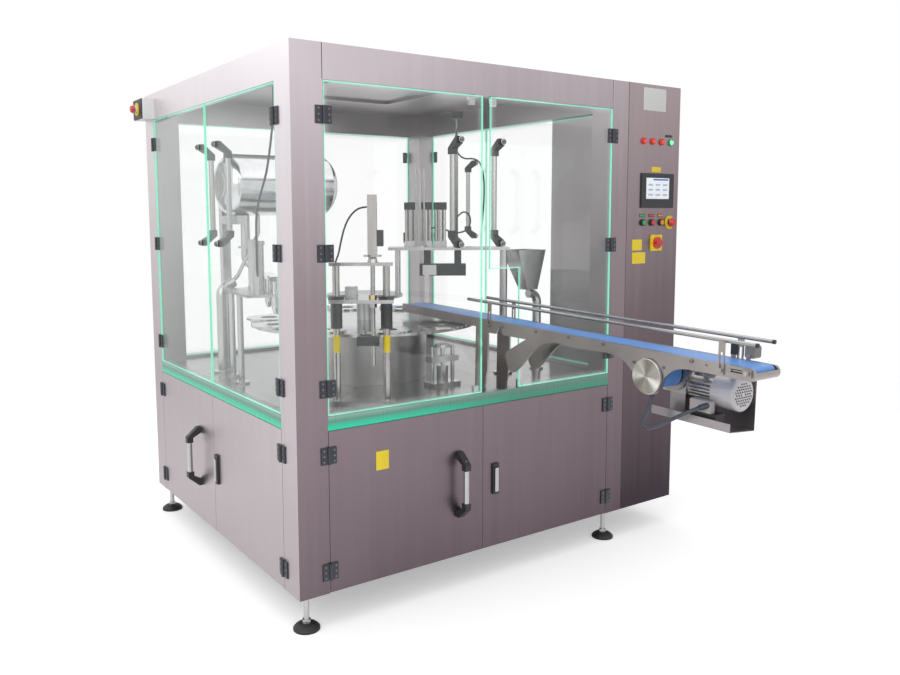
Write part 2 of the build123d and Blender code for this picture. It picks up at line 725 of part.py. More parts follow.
with BuildPart(CONVEYOR) as side_plates:
    for low in (HALF_IN, -HALF_IN - PLATE_T):
        with BuildSketch(CONVEYOR.offset(low)):
            plate_outline(window=True)
        extrude(amount=PLATE_T)
    slot_far = TAIL_S - TAKE_UP[1]
    slot_near = slot_far - TAKE_UP[0] + 8
    for side in (-1, 1):
        mid_z = side * (HALF_IN + PLATE_T / 2)
        slot_z = sorted((side * (HALF_IN - 1), side * (HALF_OUT + 1)))
        block((slot_near, slot_far), (ROLLER_H - 5, ROLLER_H + 5), slot_z, mode=Mode.SUBTRACT)
        bar((slot_near - 6, ROLLER_H, mid_z), 3, TAKE_UP[0], axis="x")
        hexagon((slot_near + 2, ROLLER_H, mid_z), CONVEYOR.x_dir, 8, 10)
        block(
            (slot_far, slot_far + 2 * TAKE_UP[1]),
            (ROLLER_H - 11, ROLLER_H + 10),
            sorted((side * (HALF_OUT - 1), side * (HALF_OUT + BEARING_T))),
        )
        hexagon((TAIL_S, ROLLER_H, side * (HALF_OUT + BEARING_T)), CONVEYOR.z_dir * side, 10, NUT_T)
    bar((DRIVE_S, DRIVE_H, -HALF_OUT), SHAFT_R + SHAFT_FIT, 2 * HALF_OUT, mode=Mode.SUBTRACT)
    for hole_s, reach in ((TAIL_S, HALF_OUT + BEARING_T + NUT_T), (NOSE_S, HALF_OUT)):
        bar((hole_s, ROLLER_H, -reach), AXLE_R + SHAFT_FIT, 2 * reach, mode=Mode.SUBTRACT)
    bar(CABLE_END, CABLE_R + 3, 14, axis="y")

RETURN_H = -2 * NOSE_R - 2 * BELT_T
with BuildPart(CONVEYOR) as slider_bed:
    block(
        (NOSE_S + NOSE_R + 8, TAIL_S - NOSE_R - 8),
        (-BELT_T - 3, -BELT_T),
        (-HALF_IN, HALF_IN),
    )
    for spacer_s in (-560, -300, -60, 240, 520, 940):
        bar((spacer_s, -BELT_T - 9, -HALF_IN), 5, 2 * HALF_IN)

SNUB_R = NOSE_R
WRAP_R = DRUM_DRIVE_R + BELT_T / 2
with BuildPart(CONVEYOR) as conveyor_belt:
    with BuildSketch(CONVEYOR.offset(-BELT_W / 2)) as belt_loop:
        with BuildLine():
            mid = BELT_T / 2
            turn = NOSE_R + mid
            FilletPolyline(
                (NOSE_S - turn, -mid),
                (TAIL_S + turn, -mid),
                (TAIL_S + turn, RETURN_H + mid),
                (DRIVE_S + WRAP_R, RETURN_H + mid),
                (DRIVE_S + WRAP_R, DRIVE_H - WRAP_R),
                (DRIVE_S - WRAP_R, DRIVE_H - WRAP_R),
                (DRIVE_S - WRAP_R, RETURN_H + mid),
                (NOSE_S - turn, RETURN_H + mid),
                radius=(turn - 0.01,) * 3 + (turn, WRAP_R - 0.01, WRAP_R - 0.01, turn) + (turn - 0.01,),
                close=True,
            )
        make_face()
        loop_face = belt_loop.sketch_local.face()
        offset(loop_face, amount=mid, kind=Kind.TANGENT, mode=Mode.REPLACE)
        offset(loop_face, amount=-mid, kind=Kind.TANGENT, mode=Mode.SUBTRACT)
    extrude(amount=BELT_W)

with BuildPart(CONVEYOR) as drive_drum:
    bar((DRIVE_S, DRIVE_H, -BELT_W / 2), DRUM_DRIVE_R - SEAT, BELT_W)
    bar((DRIVE_S, DRIVE_H, -HALF_IN - PLATE_T - 90), SHAFT_R, HALF_IN + PLATE_T + 90)
    bar((DRIVE_S, DRIVE_H, 0), SHAFT_R, HALF_IN + PLATE_T + 2)
    disc_low = HALF_IN + PLATE_T + 1.5
    bar((DRIVE_S, DRIVE_H, disc_low), DISC_R, DISC_T)
    chamfer(drive_drum.edges().group_by(Axis.X)[0], 2)
    for hole_s in (DRIVE_S - DISC_HOLE_AT, DRIVE_S + DISC_HOLE_AT):
        bar((hole_s, DRIVE_H, disc_low + DISC_T - 4), 2.5, 4, mode=Mode.SUBTRACT)
    bar((DRIVE_S, DRIVE_H, disc_low + DISC_T), 9, 2)
    hexagon((DRIVE_S, DRIVE_H, disc_low + DISC_T + 2), CONVEYOR.z_dir, 6, 3)


def end_roller(s, reach):
    with BuildPart(CONVEYOR) as roller:
        bar((s, ROLLER_H, -BELT_W / 2), NOSE_R - SEAT, BELT_W)
        bar((s, ROLLER_H, -reach), AXLE_R, 2 * reach)
    return roller


tail_roller = end_roller(TAIL_S, HALF_OUT + BEARING_T + NUT_T + 2)
nose_roller = end_roller(NOSE_S, HALF_OUT)

with BuildPart(CONVEYOR) as snub_rollers:
    for sign in (-1, 1):
        snub_s = DRIVE_S + sign * (WRAP_R + NOSE_R + BELT_T / 2)
        snub_h = RETURN_H + BELT_T / 2 - NOSE_R - BELT_T / 2
        bar((snub_s, snub_h, -HALF_IN), SNUB_R - SEAT, 2 * HALF_IN)

with BuildPart(CONVEYOR) as guide_rails:
    slot_w, slot_low, slot_high = BRACKET_SLOT
    for side, bracket_spots in BRACKETS.items():
        rail_z = side * (RAIL_GAP / 2 + RAIL_R)
        bar((-RAIL_IN, RAIL_H, rail_z), RAIL_R, RAIL_IN + RAIL_ENDS[side], axis="x")
        plate_out = side * HALF_OUT
        bracket_out = side * (HALF_OUT + 5)
        for bracket_s in bracket_spots:
            flat = sorted((plate_out, bracket_out))
            block((bracket_s - 10, bracket_s + 10), (BRACKET_LOW, RAIL_H), flat)
            block((bracket_s - 10, bracket_s + 10), (RAIL_H - 5, RAIL_H), sorted((rail_z, plate_out)))
            block(
                (bracket_s - slot_w / 2, bracket_s + slot_w / 2),
                (slot_low, slot_high),
                flat,
                mode=Mode.SUBTRACT,
            )
            hexagon((bracket_s, slot_low - 7, bracket_out), CONVEYOR.z_dir * side, 8, 6)

# Photo sensor beside the far rail, on its own bracket, and a junction box behind it
with BuildPart(CONVEYOR) as cup_sensor:
    block((992, 1008), (-20, 8), (-HALF_OUT - 4, -HALF_OUT))
    block((990, 1010), (8, 48), (-HALF_OUT - 16, -HALF_OUT))

with BuildPart(CONVEYOR) as junction_box:
    block((1044, 1058), (-22, 14), (-HALF_OUT - 4, -HALF_OUT))
    block((1036, 1070), (4, 42), (-HALF_OUT - 36, -HALF_OUT - 4))
    fillet(junction_box.edges().filter_by(Axis.X).group_by(SortBy.LENGTH)[-1], 7)

with BuildPart(CONVEYOR) as tail_guard:
    guard_s = CONV_OUT - PLATE_END_R
    with BuildSketch(CONVEYOR.offset(-HALF_IN)):
        with Locations((guard_s, -PLATE_END_R)):
            Circle(PLATE_END_R)
            Circle(PLATE_END_R - 2, mode=Mode.SUBTRACT)
        with Locations((guard_s - PLATE_END_R, -PLATE_END_R)):
            Rectangle(2 * PLATE_END_R, 4 * PLATE_END_R, mode=Mode.SUBTRACT)
        with Locations((guard_s, 0)):
            Rectangle(4 * PLATE_END_R, 2 * 11, mode=Mode.SUBTRACT)
    extrude(amount=2 * HALF_IN)

# Worm gearbox on the far side plate, motor below the belt line
GEAR_Z = -HALF_OUT
MOTOR_Z = GEAR_Z - MOTOR_R - MOTOR_CLEAR
GEAR_FAR = 2 * MOTOR_Z - GEAR_Z
MOTOR_H = DRIVE_H - MOTOR_DROP
MOTOR_S = DRIVE_S + MOTOR_AT
with BuildPart(CONVEYOR) as worm_gearbox:
    with BuildSketch(CONVEYOR.offset(GEAR_FAR)):
        with BuildLine():
            Polyline(
                (DRIVE_S - 38, DRIVE_H + 20),
                (DRIVE_S - 20, DRIVE_H + 38),
                (DRIVE_S + 20, DRIVE_H + 38),
                (DRIVE_S + 38, DRIVE_H + 20),
                (MOTOR_S, MOTOR_H + 20),
                (MOTOR_S, MOTOR_H - 26),
                (DRIVE_S - 44, MOTOR_H - 26),
                (DRIVE_S - 44, MOTOR_H + 20),
                close=True,
            )
        make_face()
    extrude(amount=GEAR_Z - GEAR_FAR - 6)
    bar((DRIVE_S, DRIVE_H, GEAR_Z - 6), 30, 6)
    bar((DRIVE_S, DRIVE_H, GEAR_FAR), SHAFT_R + SHAFT_FIT, GEAR_Z - GEAR_FAR, mode=Mode.SUBTRACT)

FIN_COUNT = 5
FIN_T = 4.0
BODY_L = 101.0
COVER_R = MOTOR_R + 3
BOX_H = (MOTOR_H - 62, MOTOR_H - 26)
BOX_Z = MOTOR_Z + 80
GLAND_AXIS = Vector(-0.5, -0.3, 0.81).normalized()
GLAND_L = 30.0
GLAND_AT = (MOTOR_S + 107, MOTOR_H - 36, BOX_Z - 4)
with BuildPart(CONVEYOR) as gear_motor:
    bar((MOTOR_S, MOTOR_H, MOTOR_Z), 45, 8, axis="x")
    bar((MOTOR_S + 8, MOTOR_H, MOTOR_Z), MOTOR_R - 8, BODY_L - 8, axis="x")
    for quarter in range(4):
        for fin in range(FIN_COUNT):
            shift = (fin - (FIN_COUNT - 1) / 2) * 11.0
            reach = sqrt(MOTOR_R**2 - shift**2)
            side = (-1, 1)[quarter % 2]
            thin = (shift - FIN_T / 2, shift + FIN_T / 2)
            long = sorted((0, side * reach))
            tall, wide = (long, thin) if quarter < 2 else (thin, long)
            block(
                (MOTOR_S + 10, MOTOR_S + BODY_L - 6),
                (MOTOR_H + tall[0], MOTOR_H + tall[1]),
                (MOTOR_Z + wide[0], MOTOR_Z + wide[1]),
            )
    bar((MOTOR_S + BODY_L - 8, MOTOR_H, MOTOR_Z), COVER_R, 8, axis="x")
    block((MOTOR_S + 40, MOTOR_S + BODY_L - 4), BOX_H, (MOTOR_Z + 30, BOX_Z))
    block((MOTOR_S + 40, MOTOR_S + 118), BOX_H, (MOTOR_Z + 60, BOX_Z))
    gland_start = CONVEYOR.from_local_coords(Vector(*GLAND_AT))
    gland_end = CONVEYOR.from_local_coords(Vector(*GLAND_AT) + GLAND_AXIS)
    with BuildSketch(Plane(origin=gland_start, z_dir=gland_end - gland_start)) as gland_face:
        Circle(CABLE_R + 3)
    extrude(gland_face.sketch, amount=GLAND_L)

FAN_S = MOTOR_S + BODY_L
COVER_ROUND = 8.0
COVER_T = 2.0
FACE_T = 3.0
GRILLE_R = 40.0
GRILLE_STEP = (11.0, 8.5)
cover_start = CONVEYOR.from_local_coords(Vector(FAN_S, MOTOR_H, MOTOR_Z))
with BuildPart() as fan_cover:
    with BuildSketch(Plane(origin=cover_start, x_dir=CONVEYOR.x_dir, z_dir=CONVEYOR.z_dir)):
        with BuildLine():
            inner_r = COVER_R - COVER_T
            inner_l = COVER_L - FACE_T
            FilletPolyline((0, COVER_R), (COVER_L, COVER_R), (COVER_L, 0), radius=COVER_ROUND)
            Line((COVER_L, 0), (inner_l, 0))
            FilletPolyline(
                (inner_l, 0), (inner_l, inner_r), (0, inner_r), radius=COVER_ROUND - COVER_T
            )
            Line((0, inner_r), (0, COVER_R))
        make_face()
    revolve(axis=Axis(cover_start, CONVEYOR.x_dir))
    face_start = CONVEYOR.from_local_coords(Vector(FAN_S + inner_l - 1, MOTOR_H, MOTOR_Z))
    with BuildSketch(Plane(origin=face_start, x_dir=CONVEYOR.y_dir, z_dir=CONVEYOR.x_dir)):
        for row in range(-4, 5):
            for column in range(-4, 5):
                spot = (row * GRILLE_STEP[1], column * GRILLE_STEP[0] + (row % 2) * GRILLE_STEP[0] / 2)
                if 9 < hypot(*spot) < GRILLE_R:
                    with Locations(spot):
                        Rectangle(4.6, 8, rotation=-20)
    extrude(amount=FACE_T + 2, mode=Mode.SUBTRACT)

BLADES = 6
with BuildPart() as motor_fan:
    with BuildPart(CONVEYOR):
        bar((FAN_S + SEAT, MOTOR_H, MOTOR_Z), 12, 50, axis="x")
        bar((FAN_S + 4, MOTOR_H, MOTOR_Z), 40, 3, axis="x")
    for blade in range(BLADES):
        angle = radians(blade * 360 / BLADES)
        vane_plane = Plane(
            origin=CONVEYOR.from_local_coords(Vector(FAN_S + 6, MOTOR_H, MOTOR_Z)),
            x_dir=CONVEYOR.y_dir * cos(angle) + CONVEYOR.z_dir * sin(angle),
            z_dir=CONVEYOR.x_dir,
        )
        with BuildPart(vane_plane):
            block((5, 39), (-1.25, 1.25), (0, 42))

# Sheet tray that screens the motor
TRAY_S = (729.0, 1027.0)
TRAY_FAR_S = 1008.0
TRAY_LIP = (-225.0, 27.0)
TRAY_WALL = (-245.0, 175.0)
TRAY_NEAR = MOTOR_Z + 92
TRAY_FAR = MOTOR_Z - 61
TRAY_T = 2.0
with BuildPart(CONVEYOR) as motor_tray:
    lip_low, lip_high = TRAY_LIP[0], sum(TRAY_LIP)
    wall_low, wall_high = TRAY_WALL[0], sum(TRAY_WALL)
    tray_start = CONVEYOR.from_local_coords(Vector(TRAY_S[0], 0, 0))
    with BuildSketch(Plane(origin=tray_start, x_dir=CONVEYOR.y_dir, z_dir=CONVEYOR.x_dir)):
        with BuildLine():
            Polyline(
                (lip_high, TRAY_NEAR),
                (lip_low, TRAY_NEAR),
                (wall_low, TRAY_FAR),
                (wall_high, TRAY_FAR),
                (wall_high, TRAY_FAR + TRAY_T),
                (wall_low + TRAY_T, TRAY_FAR + TRAY_T),
                (lip_low + TRAY_T, TRAY_NEAR - TRAY_T),
                (lip_high, TRAY_NEAR - TRAY_T),
                close=True,
            )
        make_face()
    extrude(amount=TRAY_S[1] - TRAY_S[0])
    cut_low = CONVEYOR.from_local_coords(Vector(0, wall_low - 10, 0))
    with BuildSketch(Plane(origin=cut_low, x_dir=CONVEYOR.x_dir, z_dir=CONVEYOR.y_dir)):
        with BuildLine():
            Polyline(
                (TRAY_S[1], -TRAY_NEAR),
                (TRAY_FAR_S, -TRAY_FAR),
                (TRAY_S[1] + 10, -TRAY_FAR),
                (TRAY_S[1] + 10, -TRAY_NEAR),
                close=True,
            )
        make_face()
    extrude(amount=TRAY_WALL[1] + 20, mode=Mode.SUBTRACT)
    tab_high = MOTOR_H + COVER_R + 9
    for stay_s in (MOTOR_S + 31, TRAY_FAR_S - 40):
        stay = (stay_s, stay_s + 20)
        block(stay, (wall_high - 10, tab_high), (TRAY_FAR, TRAY_FAR + TRAY_T))
        block(stay, (tab_high - 4, tab_high), (TRAY_FAR, -HALF_OUT))
        block(stay, (tab_high - 4, -6), (-HALF_OUT - 4, -HALF_OUT))
    block((DRIVE_S - 30, DRIVE_S + 30), (lip_low - 8, MOTOR_H - 26), (MOTOR_Z - 26, MOTOR_Z + 26))
    block((MOTOR_S + 56, MOTOR_S + 136), (lip_low - 2, BOX_H[0] - SEAT), (MOTOR_Z + 34, MOTOR_Z + 78))

# Twin column station
ARM_DIR = degrees(atan2(COLUMN_B[1] - COLUMN_A[1], COLUMN_B[0] - COLUMN_A[0]))
SPREAD = hypot(COLUMN_B[0] - COLUMN_A[0], COLUMN_B[1] - COLUMN_A[1])
STATION_PLANE = Plane(
    origin=place(*COLUMN_A, 0),
    x_dir=(cos(radians(ARM_DIR)), sin(radians(ARM_DIR)), 0),
    z_dir=(0, 0, 1),
)
RAM_X = SPREAD * RAM_AT
with BuildPart(STATION_PLANE) as press_columns:
    for column_x in (0, SPREAD):
        bar((column_x, 0, DECK_Z + 12), COLUMN_R, TOP_PLATE_Z - DECK_Z - 12)
    block((-30, SPREAD + 30), (-30, 30), (DECK_Z, DECK_Z + 12))
    block((-24, SPREAD + 24), (-24, 24), (TOP_PLATE_Z, TOP_PLATE_Z + 12))
    bar((RAM_X, 0, TOP_PLATE_Z), RAM_R + SLIDE_FIT, 12, mode=Mode.SUBTRACT)

with BuildPart(STATION_PLANE) as press_cylinder:
    cylinder_low = TOP_PLATE_Z + 12
    with Locations((RAM_X, 0, cylinder_low)):
        Cone(20, 14, 22, align=FROM_START)
    bar((RAM_X, 0, cylinder_low + 22), 34, 6)
    half = RAM_BODY / 2
    block((RAM_X - half, RAM_X + half), (-half, half), (cylinder_low + 28, cylinder_low + 250))
    block((RAM_X + half, RAM_X + half + 24), (-15, 15), (cylinder_low + 60, cylinder_low + 120))
    bar((RAM_X, 0, cylinder_low), RAM_R + SLIDE_FIT, 235, mode=Mode.SUBTRACT)

PRESS_DROP = 60.0
with BuildPart(STATION_PLANE) as press_crosshead:
    block((-26, SPREAD + 26), (-24, 24), (CROSSHEAD_Z, CROSSHEAD_Z + CROSSHEAD_T))
    for column_x in (0, SPREAD):
        bar((column_x, 0, CROSSHEAD_Z - SLEEVE_LEN), SLEEVE_OUT_R, SLEEVE_LEN)
        block(
            (column_x - 28, column_x + 28),
            (-24, 24),
            (CROSSHEAD_Z + CROSSHEAD_T, CROSSHEAD_Z + CROSSHEAD_T + 12),
        )
    block((20, 120), (20, 210), (CROSSHEAD_Z + 2, CROSSHEAD_Z + CROSSHEAD_T))
    for station in (6, 7):
        pad = STATION_PLANE.to_local_coords(place(*around(POCKET_PCD_R, station * PITCH), CROSSHEAD_Z))
        block(sorted((70, pad.X)), (pad.Y - 20, pad.Y + 20), (CROSSHEAD_Z + 2, CROSSHEAD_Z + CROSSHEAD_T))
        bar((pad.X, pad.Y, CROSSHEAD_Z - 30), 9, 40)
        bar((pad.X, pad.Y, CROSSHEAD_Z - 42), 33, 12)
    block((30, 75), (24, 62), (CROSSHEAD_Z + CROSSHEAD_T, CROSSHEAD_Z + CROSSHEAD_T + 45))
    for column_x in (0, SPREAD):
        bar(
            (column_x, 0, CROSSHEAD_Z - SLEEVE_LEN),
            COLUMN_R + SLIDE_FIT,
            SLEEVE_LEN + 60,
            mode=Mode.SUBTRACT,
        )
    bar((RAM_X, 0, CROSSHEAD_Z - 1), RAM_R, CROSSHEAD_T + 2, mode=Mode.SUBTRACT)

with BuildPart(STATION_PLANE) as press_ram:
    bar((RAM_X, 0, 770), RAM_R, TOP_PLATE_Z + 150 - 770)
    for nut_low in (CROSSHEAD_Z - 16, CROSSHEAD_Z + CROSSHEAD_T):
        with BuildSketch(STATION_PLANE.offset(nut_low)):
            with Locations((RAM_X, 0)):
                RegularPolygon(15, 6)
        extrude(amount=16)
    block((RAM_X - 60, RAM_X + 22), (-20, 20), (846, 880))

# Bridge plate on the turret crown, with the cup transfer unit
BRIDGE_DIR = degrees(atan2(BRIDGE_OUT[1] - BRIDGE_IN[1], BRIDGE_OUT[0] - BRIDGE_IN[0]))
BRIDGE_L = hypot(BRIDGE_OUT[0] - BRIDGE_IN[0], BRIDGE_OUT[1] - BRIDGE_IN[1])
BRIDGE = Plane(
    origin=place(*BRIDGE_IN, 0),
    x_dir=(cos(radians(BRIDGE_DIR)), sin(radians(BRIDGE_DIR)), 0),
    z_dir=(0, 0, 1),
)
BRIDGE_TOP = BRIDGE_Z + BRIDGE_T
with BuildPart(BRIDGE) as bridge_frame:
    block((-40, BRIDGE_L + 20), (-BRIDGE_W / 2, BRIDGE_W / 2), (BRIDGE_Z, BRIDGE_TOP))
    for post_y in (-26, 26):
        bar((0, post_y, CROWN_Z), 12, BRIDGE_Z - CROWN_Z)
    bar((BRIDGE_L, 0, DECK_Z + 8), 17, BRIDGE_Z - DECK_Z - 8)
    bar((BRIDGE_L, 0, DECK_Z), 42, 8)

CYLINDER_X = (58.0, 123.0, 188.0)
with BuildPart(BRIDGE) as lift_cylinders:
    for unit_x in CYLINDER_X:
        block((unit_x - 29, unit_x + 29), (-10, 48), (BRIDGE_TOP, BRIDGE_TOP + 26))
        for rod_x in (-19, 19):
            for rod_y in (0, 38):
                bar((unit_x + rod_x, rod_y, BRIDGE_TOP + 26), 7, 138)
        bar((unit_x, 19, BRIDGE_TOP + 26), 20, 138)
        block((unit_x - 29, unit_x + 29), (-10, 48), (BRIDGE_TOP + 164, BRIDGE_TOP + 196))

with BuildPart(BRIDGE) as stack_rods:
    bar((100, -46, BRIDGE_TOP), 28, 8)
    for rod_angle in (30, 150, 270):
        rod_spot = (100 + 20 * cos(radians(rod_angle)), -46 + 20 * sin(radians(rod_angle)))
        bar((*rod_spot, BRIDGE_TOP + 8), 5, 330)

MAST_X = 262.0
with BuildPart(BRIDGE) as sensor_mast:
    bar((MAST_X, 20, BRIDGE_TOP), 6, 560)
    block((MAST_X - 26, MAST_X + 26), (8, 34), (BRIDGE_TOP + 560, BRIDGE_TOP + 590))
    bar((MAST_X, 20, BRIDGE_TOP), 16, 10)

# Transfer unit: a black linear axis under the bridge, with a pusher arm
TRANSFER_X = (96.0, 300.0)
with BuildPart(BRIDGE) as transfer_axis:
    block(TRANSFER_X, (-44, 6), TRANSFER_Z)
    for hanger_x in (TRANSFER_X[0] + 20, TRANSFER_X[1] - 50):
        block((hanger_x, hanger_x + 30), (-34, -4), (TRANSFER_Z[1], BRIDGE_Z))

TRANSFER_STROKE = 90.0
with BuildPart(BRIDGE) as transfer_arm:
    block((110, 170), (-56, -44.3), (TRANSFER_Z[0] + 4, TRANSFER_Z[1] - 4))
    block((118, 138), (-64, -56), (TABLE_TOP + 70, TRANSFER_Z[1] - 10))

# Cup lifter under the table
LIFTER = around(POCKET_PCD_R, -2 * PITCH)
with BuildPart(CABINET) as lifter_base:
    block((LIFTER[0] - 70, LIFTER[0] + 70), (LIFTER[1] - 35, LIFTER[1] + 35), (DECK_Z, DECK_Z + 14))
    for rod_x in (-52, 52):
        bar((LIFTER[0] + rod_x, LIFTER[1], DECK_Z + 14), 8, 150)
    bar((*LIFTER, DECK_Z + 14), 24, 70)
    bar((*LIFTER, DECK_Z + 20), 8 + SLIDE_FIT, 70, mode=Mode.SUBTRACT)

LIFTER_STROKE = 45.0
with BuildPart(CABINET) as cup_lifter:
    bar((*LIFTER, DECK_Z + 22), 8, 138)
    block((LIFTER[0] - 70, LIFTER[0] + 70), (LIFTER[1] - 22, LIFTER[1] + 22), (DECK_Z + 100, DECK_Z + 124))
    bar((*LIFTER, DECK_Z + 160), 32, 12)
    for rod_x in (-52, 52):
        bar((LIFTER[0] + rod_x, LIFTER[1], DECK_Z + 100), 8 + SLIDE_FIT, 24, mode=Mode.SUBTRACT)

# Filling station over two pockets at the left
FILL_A = around(POCKET_PCD_R, 4 * PITCH)
FILL_B = around(POCKET_PCD_R, 5 * PITCH)
FILL_LEGS = ((128.0, 790.0), (165.0, 975.0))
with BuildPart(CABINET) as filling_frame:
    for leg in FILL_LEGS:
        bar((*leg, DECK_Z + 8), 13, FILL_TOP - DECK_Z - 8)
        bar((*leg, DECK_Z), 34, 8)
    with BuildSketch(CABINET.offset(FILL_TOP)):
        with BuildLine():
            Polyline(
                (100, 640),
                (300, 600),
                (390, 960),
                (330, 1010),
                (140, 1010),
                close=True,
            )
        make_face()
        for centre in (FILL_A, FILL_B):
            with Locations(centre):
                Circle(16 + SLIDE_FIT, mode=Mode.SUBTRACT)
    extrude(amount=12)

NOZZLE_DROP = 40.0
with BuildPart(CABINET) as filling_nozzles:
    for centre in (FILL_A, FILL_B):
        bar((*centre, FILL_TOP - 50), 16, 110)
        with Locations((*centre, FILL_TOP - 74)):
            Cone(9, 16, 24, align=FROM_START)
    tie_mid = ((FILL_A[0] + FILL_B[0]) / 2, (FILL_A[1] + FILL_B[1]) / 2)
    tie_turn = degrees(atan2(FILL_A[1] - FILL_B[1], FILL_A[0] - FILL_B[0]))
    with Locations(Location((*tie_mid, FILL_TOP + 70), (0, 0, tie_turn))):
        Box(310, 44, 20)

with BuildPart(CABINET) as dosing_cylinders:
    for centre in (FILL_A, FILL_B):
        spot = (centre[0] - 62, centre[1] + 18)
        bar((*spot, FILL_TOP + 12), 26, 10)
        bar((*spot, FILL_TOP + 22), 22, 190)
        bar((*spot, FILL_TOP + 212), 26, 16)

with BuildPart(CABINET) as product_tank:
    with BuildSketch(Plane(origin=place(0, TANK_Y, TANK_Z), x_dir=(1, 0, 0), z_dir=(0, 1, 0))):
        with BuildLine():
            Line((TANK_X[0], 0), (TANK_X[0], -TANK_R * 0.35))
            ThreePointArc(
                (TANK_X[0], -TANK_R * 0.35),
                (TANK_X[0] + 16, -TANK_R * 0.84),
                (TANK_X[0] + 45, -TANK_R),
            )
            Line((TANK_X[0] + 45, -TANK_R), (TANK_X[1] - 45, -TANK_R))
            ThreePointArc(
                (TANK_X[1] - 45, -TANK_R),
                (TANK_X[1] - 16, -TANK_R * 0.84),
                (TANK_X[1], -TANK_R * 0.35),
            )
            Line((TANK_X[1], -TANK_R * 0.35), (TANK_X[1], 0))
            Line((TANK_X[1], 0), (TANK_X[0], 0))
        make_face()
    revolve(axis=Axis(place(0, TANK_Y, TANK_Z), (1, 0, 0)))
    bar((TANK_X[1] - 90, TANK_Y, TANK_Z + TANK_R - 20), 40, 26)

with BuildPart(CABINET) as tank_stand:
    back = TANK_Y + TANK_R + STAND_GAP
    saddle_top = TANK_Z - TANK_R - SEAT
    for stand_x in (TANK_X[0] + 80, TANK_X[1] - 80):
        wide = (stand_x - 20, stand_x + 20)
        block(wide, (back, back + STAND_D), (DECK_Z, TANK_Z))
        block(wide, (TANK_Y - 40, back + STAND_D), (saddle_top - 40, saddle_top))
        block(wide, (TANK_Y + TANK_R + SEAT, back), (TANK_Z - 60, TANK_Z))

with BuildPart(CABINET) as tank_agitator:
    bar((TANK_X[1] - 90, TANK_Y, TANK_Z + TANK_R + 6), 36, 12)
    bar((TANK_X[1] - 90, TANK_Y, TANK_Z + TANK_R + 18), 28, 140)

# Pipe with a flanged foot and an elbow, with a thinner line on to the tank
PIPE_FOOT = (160.0, 1079.0)
PIPE_R = 24.0
PIPE_TOP = 1000.0
PIPE_STUB = (222.0, 1100.0, 1030.0)
LINE_R = 9.0
LINE_END_X = 395.0
with BuildPart(CABINET) as support_pipe:
    with BuildLine() as pipe_line:
        FilletPolyline(
            place(*PIPE_FOOT, DECK_Z + 8),
            place(*PIPE_FOOT, PIPE_TOP),
            place(*PIPE_STUB),
            radius=42,
        )
    with BuildSketch(Plane(origin=pipe_line.line @ 0, z_dir=pipe_line.line % 0)):
        Circle(PIPE_R)
    sweep(path=pipe_line.line)
    bar((*PIPE_FOOT, DECK_Z), 46, 8)
    line_start = Vector(*PIPE_STUB) - (Vector(*PIPE_STUB) - Vector(*PIPE_FOOT, PIPE_TOP)) * 0.25
    with BuildLine() as thin_line:
        FilletPolyline(
            place(*line_start),
            place(PIPE_STUB[0] + 30, PIPE_STUB[1] + 12, PIPE_STUB[2] + 30),
            place(LINE_END_X, TANK_Y, 1250),
            place(LINE_END_X, TANK_Y, TANK_Z - TANK_R - SEAT),
            radius=12,
        )
    with BuildSketch(Plane(origin=thin_line.line @ 0, z_dir=thin_line.line % 0)):
        Circle(LINE_R)
    sweep(path=thin_line.line)

# Outlet pipe under the tank, with an elbow towards the filling station
OUTLET_X = 330.0
OUTLET_END = (372.0, 1128.0, 1095.0)
with BuildPart(CABINET) as outlet_pipe:
    with BuildLine() as outlet_line:
        FilletPolyline(
            place(OUTLET_X, TANK_Y, TANK_Z - TANK_R - SEAT),
            place(OUTLET_X, TANK_Y, 1110),
            place(*OUTLET_END),
            radius=40,
        )
    with BuildSketch(Plane(origin=outlet_line.line @ 0, z_dir=outlet_line.line % 0)):
        Circle(PIPE_R - 3)
    sweep(path=outlet_line.line)
    bar((OUTLET_X, TANK_Y, 1180), PIPE_R + 10, 10)

# Waste chute on its flanged leg, right of the conveyor
CHUTE = (1296.0, 329.0)
CHUTE_LEG = (1379.0, 329.0)
with BuildPart(CABINET) as waste_chute:
    with BuildSketch(CABINET.offset(995)):
        with Locations((CHUTE[0] + 30, CHUTE[1])):
            Rectangle(60, 60)
    with BuildSketch(CABINET.offset(1176)):
        with Locations(CHUTE):
            Rectangle(160, 120)
    loft()
    with BuildSketch(CABINET.offset(997)):
        with Locations((CHUTE[0] + 30, CHUTE[1])):
            Rectangle(54, 54)
    with BuildSketch(CABINET.offset(1178)):
        with Locations(CHUTE):
            Rectangle(154, 114)
    loft(mode=Mode.SUBTRACT)
    with BuildLine() as chute_line:
        FilletPolyline(
            place(*CHUTE_LEG, DECK_Z + 8),
            place(*CHUTE_LEG, 975),
            place(CHUTE[0] + 30, CHUTE[1], 975),
            radius=40,
        )
    with BuildSketch(Plane(origin=chute_line.line @ 0, z_dir=chute_line.line % 0)):
        Circle(20)
    sweep(path=chute_line.line)
    bar((*CHUTE_LEG, DECK_Z), 32, 8)

# Cable from the motor's terminal box to a gland on the near side plate
CABLE_EASE = 0.45
CABLE_START = Vector(*GLAND_AT) + GLAND_AXIS * (GLAND_L + SEAT)
CABLE_POINTS = [
    tuple(CABLE_START),
    tuple(CABLE_START + GLAND_AXIS * 20),
    (880, -196, 22),
    (783, -259, 45),
    (762, -255, 45),
    (752, -235, 45),
    (CABLE_END[0], -166, CABLE_END[2]),
    (CABLE_END[0], CABLE_END[1] - SEAT, CABLE_END[2]),
]


